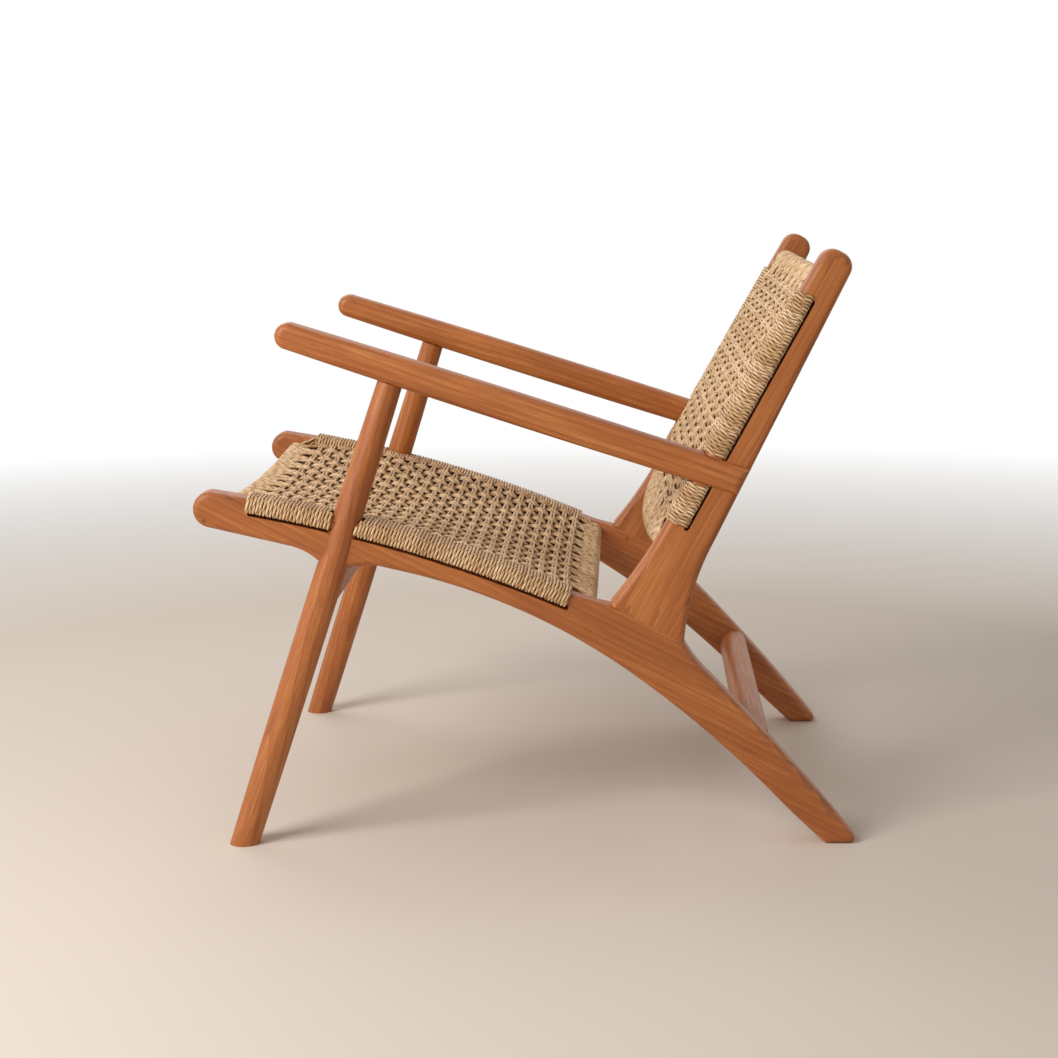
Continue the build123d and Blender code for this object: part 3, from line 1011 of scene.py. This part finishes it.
    def sheets(
        self, x: np.ndarray, s: np.ndarray, rise: np.ndarray, climb: float
    ) -> tuple[np.ndarray, np.ndarray]:
        """Points of a cord on the two sheets.

        Args:
            x: Places across the chair.
            s: Places along the strip.
            rise: Height over the middle of the sheet.
            climb: How much farther along the strip it lies on the back.

        Returns:
            Its points on the face, and on the back in the opposite order.
        """
        face = self.place(x, s, self.depth(x, s, Layer.FACE) - rise)
        back = self.place(x, s + climb, self.depth(x, s, Layer.BACK) + rise)
        return face, back[::-1]

    def laid(self, points: np.ndarray, low: np.ndarray | float = 0.0) -> np.ndarray:
        """Path rows of points and their depth in the weave."""
        return np.column_stack([points, np.broadcast_to(low, len(points))])

    def warp_x(self, offset: float, group: int, s: np.ndarray, random: np.random.Generator) -> np.ndarray:
        """Places across the chair of one warp.

        Args:
            offset: Its place in its group, from the middle.
            group: Number of the group.
            s: Places along the strip.
            random: Source of its drift.

        Returns:
            Its places across the chair.
        """
        row = self.row(s)
        before, after = row * self.pitch, (self.pairs - 1 - row) * self.pitch
        margin, fade, beside = 23, 13, 7
        tight = smooth((before + margin) / fade) * smooth((after + margin) / fade)
        drawn = self.gather * tight * np.maximum(smooth((1 - before) / beside), smooth((1 - after) / beside))
        past, over = 0.15, 0.4
        ends = smooth((-past - row) / over) + smooth((row - self.pairs + (1 - past)) / over)
        swing = np.cos(math.pi * (np.clip(row, -0.5, self.pairs - 0.5) + 0.5)) * (1 + self.end_swing * ends)
        lean = tight * self.pull * swing * (1 if group % 2 else -1)
        closed = offset * (1 - self.squeeze * tight - drawn)
        return self.group_x()[group] + closed + lean + self.drift(s, random) * tight

    def warp_loop(self, offset: float, group: int, random: np.random.Generator) -> tuple[np.ndarray, int]:
        """Closed path of one warp: over the face, round a rail, back and round the other.

        Args:
            offset: Its place in its group, from the middle.
            group: Number of the group.
            random: Source of its drift.

        Returns:
            The path, and the number of its points that are seen closely.
        """
        clear, points, seen_on_rail, tucked = 6, 190, 12, 2
        off = self.cord / 2
        middle = self.group_x()[group]
        x = middle + offset
        s0, s1 = (self.locate(rail.over(x, Layer.FACE, off))[0] for rail in (self.low, self.high))
        s = np.linspace(s0 + clear, s1 - clear, points)
        xs = self.warp_x(offset, group, s, random)
        inside = smooth((s - self.start) / self.ease) * smooth((self.start + self.span - s) / self.ease)
        buried = abs(x) > self.inner_x - self.plain + tucked
        lift = np.full_like(s, -1.0) if buried else self.warp_lift(middle, s)
        face, back = self.sheets(xs, s, lift * inside * self.wave, 0.0)
        low = self.low_down(lift) * inside
        parts = [
            self.laid(face, low),
            self.laid(self.high.wrap(x, 1, off)),
            self.laid(back, low[::-1]),
            self.laid(self.low.wrap(x, -1, off)[::-1]),
        ]
        return np.vstack(parts), len(face) + seen_on_rail

    def round_strip(self, s: float, side: Side) -> np.ndarray:
        """Path round one side strip, from its inner edge over the strip and back below it.

        Args:
            s: Place along the strip.
            side: Side of the chair.

        Returns:
            Points in order from face to back.
        """
        off, corner, lip, many, few = self.cord / 2, 1, 2, 12, 6
        out, sideways, ahead = self.normal(s), np.array([side.value, 0.0, 0.0]), self.along(s)
        deep, climb = self.strip(s), ahead * self.slant
        on_edge = self.place(0.0, np.array([s]), np.array([0.0]))[0]

        def at(x: float, depth: float) -> np.ndarray:
            """Point of the strip's section."""
            return on_edge + sideways * x - out * depth + climb * min(1.0, max(0.0, depth / deep))

        inner = np.linspace(at(self.inner_x + lip, -off), at(self.outer_x - self.edge, -off), many)
        upper = quarter(at(self.outer_x - self.edge, self.edge), out, sideways, self.edge + off, many)
        lower = quarter(at(self.outer_x - corner, deep - corner), sideways, -out, corner + off, few)
        lower = lower + climb
        down = np.linspace(upper[-1], lower[0], few)[1:-1]
        under = np.linspace(at(self.outer_x - corner, deep + off), at(self.inner_x + corner, deep + off), many)
        return np.vstack([inner, upper, down, lower, under])

    def weft_loop(self, s: float, way: int, pair: int, random: np.random.Generator) -> tuple[np.ndarray, int]:
        """Closed path of one weft: across the face, round a strip, back and round the other.

        Args:
            s: Place along the strip.
            way: -1 for the first cord of its pair, 1 for the second.
            pair: Number of the pair.
            random: Source of its drift.

        Returns:
            The path, and the number of its points that are seen closely.
        """
        clear, points, easing = 4, 220, 12
        x = np.linspace(-self.inner_x + clear, self.inner_x - clear, points)
        woven = smooth((self.inner_x - self.plain - np.abs(x)) / self.ease)
        nip = np.sin(math.pi * (x - self.group_x()[0]) / self.group_pitch()) * (1 if pair % 2 else -1)
        ss = s + woven * (way * (self.pinch * nip - self.closing) + self.drift(x, random))
        lift = self.weft_lift(x, pair) * woven + (1 - woven)
        rise = lift * self.wave * np.clip((self.inner_x - np.abs(x)) / easing, 0, 1)
        face, back = self.sheets(x, ss, rise, self.slant)
        low = self.low_down(lift) * woven
        right = self.laid(self.round_strip(s, Side.RIGHT)[::-1])
        left = self.laid(self.round_strip(s, Side.LEFT))
        path = np.vstack([right, self.laid(face, low), left, self.laid(back, low[::-1])])
        return path, len(right) + len(face) + len(left)

    def strip_loop(self, s: float, side: Side) -> np.ndarray:
        """Closed path of a cord that goes round one strip and the plain margin beside it.

        Args:
            s: Place along the strip.
            side: Side of the chair.

        Returns:
            The path.
        """
        clear, points, easing, starting = 4, 14, 12, 6
        x = np.linspace(self.inner_x - self.plain, self.inner_x - clear, points)
        rise = np.clip((self.inner_x - x) / easing, 0, 1) * smooth((x - x[0]) / starting) * self.wave
        face, back = self.sheets(x * side.value, np.full_like(x, s), rise, self.slant)
        return self.laid(np.vstack([face, self.round_strip(s, side), back]))

    def lay_rail_turns(self, cords: Cords, x: float) -> None:
        """Winds one turn of cord on each cross rail.

        Args:
            cords: The bundle that the turns go to.
            x: Place across the chair.
        """
        for rail, way in ((self.low, -1), (self.high, 1)):
            loop = rail.loop(x, way, self.cord / 2)
            cords.lay(self.laid(loop), np.array([1.0, 0.0, 0.0]), len(loop))

    def lay_warps(self, bundles: dict[Bundle, Cords], random: np.random.Generator) -> None:
        """Lays the cords that run between the cross rails and those wound on the rails alone.

        Args:
            bundles: The bundles that the cords go to.
            random: Source of the cords' drift.
        """
        beyond = 2
        step = self.group_pitch() / self.fill
        for group, middle in enumerate(self.group_x()):
            cords = bundles[WARP_BUNDLES[group * len(WARP_BUNDLES) // self.groups]]
            for turn in range(self.fill):
                offset = (turn - (self.fill - 1) / 2) * step
                if abs(offset) < self.warps * step / 2:
                    path, fine = self.warp_loop(offset, group, random)
                    cords.lay(path, np.array([1.0, 0.0, 0.0]), fine)
                else:
                    self.lay_rail_turns(bundles[Bundle.EDGE_WRAPS], middle + offset)
        for x in (-self.inner_x - beyond, self.inner_x + beyond):
            self.lay_rail_turns(bundles[Bundle.EDGE_WRAPS], x)

    def lay_wefts(self, bundles: dict[Bundle, Cords], random: np.random.Generator) -> None:
        """Lays the cords that run between the side strips and those wound on the strips alone.

        Args:
            bundles: The bundles that the cords go to.
            random: Source of the cords' drift.
        """
        turns, clear = 4, 1
        way_of = {1: -1, 2: 1}
        for turn in range(-turns, (self.pairs + 1) * turns):
            s = self.start + self.first + (turn - (turns - 1) / 2) * self.pitch / turns
            pair, rank = divmod(turn, turns)
            if not self.start + clear < s < self.start + self.span - clear:
                continue
            along = self.along(s)
            if rank in way_of and 0 <= pair < self.pairs:
                half = Bundle.WEFTS_REAR if pair * 2 >= self.pairs else Bundle.WEFTS_FRONT
                path, fine = self.weft_loop(s, way_of[rank], pair, random)
                bundles[half].lay(path, along, fine, self.inside_timber(path))
                continue
            for side in Side:
                path = self.strip_loop(s + random.normal(0, self.jitter), side)
                bundles[Bundle.SIDE_WRAPS].lay(path, along * side.value, len(path), self.inside_timber(path))

    def build(self, random: np.random.Generator, node: str) -> list[bpy.types.Object]:
        """Lays every cord of the panel.

        Args:
            random: Source of the small differences between cords.
            node: The plain solid that the cords stand for.

        Returns:
            The new pieces.
        """
        bundles = {bundle: Cords(f"{self.name}_{bundle.value}", self.coarse) for bundle in Bundle}
        self.lay_warps(bundles, random)
        self.lay_wefts(bundles, random)
        made = []
        for cords in bundles.values():
            piece = cords.build(random)
            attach(piece, "root")
            made.append(piece)
        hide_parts(node)
        return made

    def dress(self, made: list[bpy.types.Object], cord: bpy.types.Material) -> None:
        """Gives every piece of the panel the cord's finish."""
        for piece in made:
            dress(piece, cord)


@dataclass(kw_only=True)
class SeatPanel(WovenPanel):
    """Seat weave, whose side strips follow the crown of the side rails.

    Attributes:
        centre, crown: Centre and radius of the crown.
        wood: Depth of the wood over the slot.
        leg_foot, leg_top, leg_radius: Line and radius of the left front leg where it crosses the strip.
    """

    name: str = "seat"
    low: CrossRail = CrossRail(y=-350.5, z=392.5, tilt=-13.0, bow_y=0.0, bow_z=-9.0, thick=24.0)
    high: CrossRail = CrossRail(y=64.1, z=279.7, tilt=-21.0, bow_y=0.0, bow_z=-9.0, thick=24.0)
    slot_foot: Pair = (-326.5, 415.5)
    groups: int = 20
    warps: int = 5
    fill: int = 7
    pairs: int = 24
    first: float = 12.5
    pitch: float = 16.4
    span: float = 397.5
    sag: float = 7.5
    coarse: float = 6.0
    plain: float = 10.0
    bead: float = 10.0
    squeeze: float = 0.08
    pull: float = 2.0
    gather: float = 0.2
    slant: float = 0.0
    centre: Pair = (-644.9, -1352.7)
    crown: float = 1796.9
    wood: float = 14.0
    leg_foot: Triple = (317.5, -337.6, 0.0)
    leg_top: Triple = (281.0, -158.5, 547.0)
    leg_radius: float = 17.9

    def inside_timber(self, path: np.ndarray) -> np.ndarray:
        """Finds the points inside a front leg.

        Args:
            path: Path rows.

        Returns:
            True for each point inside.
        """
        inward, bite = 6, 0.9
        foot = np.array(self.leg_foot)
        axis = unit(np.array(self.leg_top) - foot)
        spot = np.column_stack([np.abs(path[:, 0]), path[:, 1:3]]) - foot
        away = np.linalg.norm(spot - np.outer(spot @ axis, axis), axis=1)
        outside = np.abs(path[:, 0]) > self.inner_x + inward
        return (away < self.leg_radius + bite * self.cord / 2) & outside

    def angle(self, s: float | np.ndarray) -> float | np.ndarray:
        """Turn about the crown's centre at a distance s along the strip."""
        return math.pi / 2 - s / self.crown

    def place(self, x: float | np.ndarray, s: np.ndarray, depth: np.ndarray) -> np.ndarray:
        """Points of the panel.

        Args:
            x: Places across the chair.
            s: Distances along the strip.
            depth: Depths below its edge.

        Returns:
            The points, one a row.
        """
        turn = self.angle(s)
        reach = self.crown - depth
        y = self.centre[0] + reach * np.cos(turn)
        z = self.centre[1] + reach * np.sin(turn)
        return np.stack([np.broadcast_to(x, turn.shape).astype(float), y, z], axis=-1)

    def normal(self, s: float) -> np.ndarray:
        """Outward direction of the strip's edge at s."""
        return np.array([0.0, math.cos(self.angle(s)), math.sin(self.angle(s))])

    def along(self, s: float) -> np.ndarray:
        """Direction of the strip's edge at s."""
        return np.array([0.0, math.sin(self.angle(s)), -math.cos(self.angle(s))])

    def strip(self, s: float) -> float:
        """Depth of the wood between the edge and the slot, the same at every s."""
        return self.wood

    def locate(self, point: np.ndarray) -> tuple[float, float]:
        """Distance along the strip and depth below its edge of a point."""
        dy, dz = point[1] - self.centre[0], point[2] - self.centre[1]
        return (math.pi / 2 - math.atan2(dz, dy)) * self.crown, self.crown - math.hypot(dy, dz)


@dataclass(kw_only=True)
class BackPanel(WovenPanel):
    """Back weave, whose side strips are the straight front edges of the posts.

    Attributes:
        foot, head: Ends of the post's front edge, as Y and Z.
        slot_head, slot_wide: Upper end of the slot's middle line, and its width.
        arm_top, arm_low, arm_belly: Upper and lower lines of an arm, and how far they bulge.
        arm_inner: Inner face of an arm.
    """

    name: str = "back"
    low: CrossRail = CrossRail(y=172.0, z=363.5, tilt=60.6, bow_y=-15.0, bow_z=-11.0, thick=22.0)
    high: CrossRail = CrossRail(y=340.3, z=662.4, tilt=60.6, bow_y=5.2, bow_z=-2.9, thick=22.0)
    slot_foot: Pair = (187.3, 378.2)
    groups: int = 14
    warps: int = 7
    fill: int = 9
    pairs: int = 19
    first: float = 8.0
    pitch: float = 16.0
    span: float = 304.0
    sag: float = 0.0
    coarse: float = 4.4
    plain: float = 14.0
    bead: float = 15.0
    squeeze: float = 0.0
    pull: float = 2.2
    gather: float = 0.25
    slant: float = 2.0
    foot: Pair = (163.0, 382.0)
    head: Pair = (347.2, 709.2)
    slot_head: Pair = (331.6, 645.5)
    slot_wide: float = 6.5
    arm_top: Line = ((-270.3, 619.0), (263.2, 450.5))
    arm_low: Line = ((-279.7, 589.4), (248.2, 420.0))
    arm_belly: float = 2.0
    arm_inner: float = 272.0

    def arm_height(self, line: Line, y: np.ndarray, way: int) -> np.ndarray:
        """Height of an arm's upper or lower face.

        Args:
            line: Ends of the face, as Y and Z.
            y: Places from front to back.
            way: 1 where the face bulges up, -1 where it bulges down.

        Returns:
            Heights of the face.
        """
        (y0, z0), (y1, z1) = line
        share = (y - y0) / (y1 - y0)
        return z0 + share * (z1 - z0) + way * 4 * self.arm_belly * share * (1 - share)

    def inside_timber(self, path: np.ndarray) -> np.ndarray:
        """Finds the points inside an arm.

        Args:
            path: Path rows.

        Returns:
            True for each point inside.
        """
        bite = 0.9
        room = bite * self.cord / 2
        below = path[:, 2] < self.arm_height(self.arm_top, path[:, 1], 1) + room
        above = path[:, 2] > self.arm_height(self.arm_low, path[:, 1], -1) - room
        return below & above & (np.abs(path[:, 0]) > self.arm_inner - room)

    def along(self, s: float) -> np.ndarray:
        """Direction of the post's front edge, the same at every s."""
        return unit(np.array([0.0, self.head[0] - self.foot[0], self.head[1] - self.foot[1]]))

    def normal(self, s: float) -> np.ndarray:
        """Forward direction square to the post's front edge, the same at every s."""
        _, y, z = self.along(s)
        return np.array([0.0, -z, y])

    def place(self, x: float | np.ndarray, s: np.ndarray, depth: np.ndarray) -> np.ndarray:
        """Points of the panel.

        Args:
            x: Places across the chair.
            s: Distances along the strip.
            depth: Depths below its edge.

        Returns:
            The points, one a row.
        """
        up, out = self.along(0), self.normal(0)
        points = np.array([0.0, *self.foot]) + s[..., None] * up - depth[..., None] * out
        points[..., 0] += x
        return points

    def strip(self, s: float) -> float:
        """Depth of the wood between the edge and the slot.

        Args:
            s: Place along the strip.

        Returns:
            The depth there.
        """
        (s0, d0), (s1, d1) = (self.locate(np.array([0.0, *end])) for end in (self.slot_foot, self.slot_head))
        return d0 + (d1 - d0) * (s - s0) / (s1 - s0) - self.slot_wide / 2

    def locate(self, point: np.ndarray) -> tuple[float, float]:
        """Distance along the strip and depth below its edge of a point."""
        reach = np.array([0.0, point[1] - self.foot[0], point[2] - self.foot[1]])
        return float(reach @ self.along(0)), float(-(reach @ self.normal(0)))


@dataclass(frozen=True)
class Timber:
    """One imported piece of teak, with the values that Teak asks for."""

    node: str
    heart: Triple
    tint: float = 1.0
    turn: Triple = ORIGIN
    wander: float = 2.6
    knots: tuple[Knot, ...] = ()

    def dress(self, nodes: dict[str, bpy.types.Object]) -> None:
        """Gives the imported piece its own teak.

        Args:
            nodes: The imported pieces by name.
        """
        name = f"{Finish.TEAK.value}_{self.node}"
        teak = Teak(name, self.turn, self.heart, self.tint, self.wander, self.knots)
        dress(nodes[self.node], teak.build())


@dataclass(frozen=True)
class SideFrame:
    """The four timbers of one side of the chair.

    Attributes:
        side: Side of the chair.
        middle: Distance of the side rail from the middle of the chair, in metres.
    """

    side: Side
    middle: float = 0.286

    def knots(self) -> dict[str, tuple[Knot, ...]]:
        """Finds the knots of this side.

        Returns:
            The knots of each timber that has some, by its name.
        """
        if self.side is Side.RIGHT:
            return {"side_rail": ((-0.268, 0.1195, 0.269, 0.0045),)}
        return {
            "side_rail": ((0.304, -0.378, 0.388, 0.005),),
            "back_post": ((0.301, 0.368, 0.688, 0.007), (0.303, 0.358, 0.694, 0.004)),
            "front_leg": ((0.322, -0.262, 0.250, 0.004), (0.333, -0.325, 0.060, 0.003)),
        }

    def timbers(self) -> list[Timber]:
        """Names the timbers of this side.

        Returns:
            The side rail, the back post, the arm and the front leg.
        """
        made = []
        for name, out, y, z, tint, turn, wander in (
            ("side_rail", 0.01, 0.02, 0.11, 0.98, (27, 3, -90), 2.6),
            ("back_post", -0.035, 0.16, 0.36, 1.0, (-61.5, -6, -90), 3.6),
            ("armrest", -0.02, 0.0, 0.42, 1.03, (18.4, 3, -90), 2.6),
            ("front_leg", -0.02, -0.20, 0.3, 0.97, (-71.9, 2.5, -90), 2.6),
        ):
            heart = (self.side.value * (self.middle + out), y, z)
            node = f"{name}_{self.side.name.lower()}"
            made.append(Timber(node, heart, tint, turn, wander, self.knots().get(name, ())))
        return made

    def dress(self, nodes: dict[str, bpy.types.Object]) -> None:
        """Dresses the timbers of this side."""
        for timber in self.timbers():
            timber.dress(nodes)


@dataclass(frozen=True)
class CrossTimbers:
    """The cross rails, stretchers and dowels, whose grain runs across the chair."""

    timbers: tuple[Timber, ...] = (
        Timber("seat_front_rail", (0, -0.35, 0.35)),
        Timber("seat_rear_rail", (0, 0.064, 0.24)),
        Timber("back_top_rail", (0, 0.34, 0.62)),
        Timber("back_bottom_rail", (0, 0.17, 0.33)),
        Timber("front_stretcher", (0, -0.20, 0.28), 1.02),
        Timber("rear_stretcher", (0, 0.30, 0.09), 0.98),
    )
    dowels: tuple[str, ...] = ("post_dowels", "arm_dowels", "lap_dowels")
    beech: Teak = Teak(f"beech_{Finish.DOWEL.value}", tint=1.15)

    def dress(self, nodes: dict[str, bpy.types.Object]) -> None:
        """Dresses the cross timbers in teak and the dowels in paler wood.

        Args:
            nodes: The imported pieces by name.
        """
        for timber in self.timbers:
            timber.dress(nodes)
        beech = self.beech.build()
        for node in self.dowels:
            dress(nodes[node], beech)


@dataclass(frozen=True)
class Lamp:
    """A soft square lamp aimed at the chair."""

    name: str
    place: Triple
    size: float
    power: float
    colour: Triple
    aim: Triple = (0.0, 0.0, 0.3)

    def build(self) -> None:
        """Hangs the lamp."""
        data = bpy.data.lights.new(self.name, "AREA")
        data.shape, data.size, data.energy, data.color = "SQUARE", self.size, self.power, self.colour
        lamp = bpy.data.objects.new(self.name, data)
        bpy.context.scene.collection.objects.link(lamp)
        lamp.location = self.place
        lamp.rotation_mode = "QUATERNION"
        lamp.rotation_quaternion = (Vector(self.aim) - Vector(self.place)).to_track_quat("-Z", "Y")


@dataclass(frozen=True)
class Studio:
    """Camera, pale floor, background and lamps.

    Attributes:
        place: Camera's place beside the chair, in metres.
        yaw, pitch, roll: Its turns, in degrees, from looking along -X.
        focal, image: Its focal length and the width of its image, in the same units.
        sensor: Width of its sensor, in millimetres.
        reach: Nearest and farthest that it sees, in metres.
        floor_fade: Slope and start of the floor's fading to white with distance.
    """

    place: Triple = (2.774, 0.1185, 0.796)
    yaw: float = 2.63
    pitch: float = 9.55
    roll: float = -0.33
    focal: float = 2145.0
    image: float = 1058.0
    sensor: float = 36.0
    reach: Pair = (0.05, 60.0)
    floor_size: float = 30.0
    floor_colour: Triple = (0.80, 0.73, 0.66)
    floor_roughness: float = 0.8
    floor_specular: float = 0.1
    floor_fade: Pair = (0.45, 0.55)
    sky_colour: Triple = (1.0, 0.93, 0.86)
    sky_strength: float = 0.37
    lamps: tuple[Lamp, ...] = (
        Lamp("key", (1.75, -1.75, 1.75), 1.3, 55.0, (1.0, 0.96, 0.91)),
        Lamp("rim", (-1.3, -0.7, 2.0), 1.4, 11.0, (1.0, 0.96, 0.92)),
    )

    def camera(self) -> None:
        """Sets up the camera."""
        data = bpy.data.cameras.new("camera")
        data.sensor_width = self.sensor
        data.lens = self.focal / self.image * self.sensor
        data.clip_start, data.clip_end = self.reach
        camera = bpy.data.objects.new("camera", data)
        bpy.context.scene.collection.objects.link(camera)
        turn = Matrix.Rotation(math.radians(self.yaw), 3, "Z")
        ahead, right, up = turn @ Vector((-1, 0, 0)), turn @ Vector((0, 1, 0)), Vector((0, 0, 1))
        c, s = math.cos(math.radians(self.pitch)), math.sin(math.radians(self.pitch))
        ahead, up = ahead * c - up * s, up * c + ahead * s
        c, s = math.cos(math.radians(self.roll)), math.sin(math.radians(self.roll))
        right, up = right * c + up * s, up * c - right * s
        frame = Matrix((right, up, -ahead)).transposed()
        camera.matrix_world = Matrix.Translation(self.place) @ frame.to_4x4()
        bpy.context.scene.camera = camera

    def floor(self) -> None:
        """Lays the pale floor, which fades to white far from the chair."""
        bpy.ops.object.select_all(action="DESELECT")
        bpy.ops.mesh.primitive_plane_add(size=self.floor_size, location=(0, 0, 0))
        floor = bpy.context.object
        floor.name = "floor"
        g = Graph("pale_floor")
        g.surface("Base Color", (*self.floor_colour, 1))
        g.surface("Roughness", self.floor_roughness)
        g.surface("Specular IOR Level", self.floor_specular)
        far = g.add("VectorMath")
        far.operation = "LENGTH"
        g.link(g.local(), far.inputs[0])
        slope, start = self.floor_fade
        fade = g.calc("MULTIPLY_ADD", far.outputs["Value"], slope, -start, clamp=True)
        mix = g.add("MixShader")
        seen = g.add("LightPath").outputs["Is Camera Ray"]
        g.link(g.calc("MULTIPLY", fade, seen), mix.inputs["Fac"])
        g.link(g.shader.outputs[0], mix.inputs[1])
        g.link(g.add("Emission").outputs[0], mix.inputs[2])
        g.link(mix.outputs[0], g.output.inputs["Surface"])
        floor.data.materials.append(g.material)

    def world(self) -> None:
        """Sets the background: white to the eye and in reflections, softer as light."""
        world = bpy.data.worlds.new("studio")
        bpy.context.scene.world = world
        world.use_nodes = True
        tree = world.node_tree
        tree.nodes.clear()
        path, either, mix, out, soft, white = (
            tree.nodes.new("ShaderNode" + kind)
            for kind in ("LightPath", "Math", "MixShader", "OutputWorld", "Background", "Background")
        )
        soft.inputs["Color"].default_value = (*self.sky_colour, 1)
        soft.inputs["Strength"].default_value = self.sky_strength
        white.inputs["Color"].default_value = (1, 1, 1, 1)
        white.inputs["Strength"].default_value = 1.0
        either.operation = "MAXIMUM"
        for source, target in (
            (path.outputs["Is Camera Ray"], either.inputs[0]),
            (path.outputs["Is Glossy Ray"], either.inputs[1]),
            (either.outputs[0], mix.inputs["Fac"]),
            (soft.outputs[0], mix.inputs[1]),
            (white.outputs[0], mix.inputs[2]),
            (mix.outputs[0], out.inputs["Surface"]),
        ):
            tree.links.new(source, target)

    def build(self) -> None:
        """Builds the whole studio."""
        self.camera()
        self.floor()
        self.world()
        for lamp in self.lamps:
            lamp.build()
        bpy.context.scene.view_settings.view_transform = "Standard"


def main() -> None:
    """Builds the dressed armchair."""
    logging.basicConfig(level=logging.INFO)
    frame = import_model()
    nodes = frame["nodes"]
    for timbers in (SideFrame(Side.LEFT), SideFrame(Side.RIGHT), CrossTimbers()):
        timbers.dress(nodes)
    random = np.random.default_rng(SEED)
    cord = PaperCord().build()
    for panel, node in ((SeatPanel(), "seat_weave"), (BackPanel(), "back_weave")):
        panel.dress(panel.build(random, node), cord)
    Studio().build()


if __name__ == "__main__":
    main()
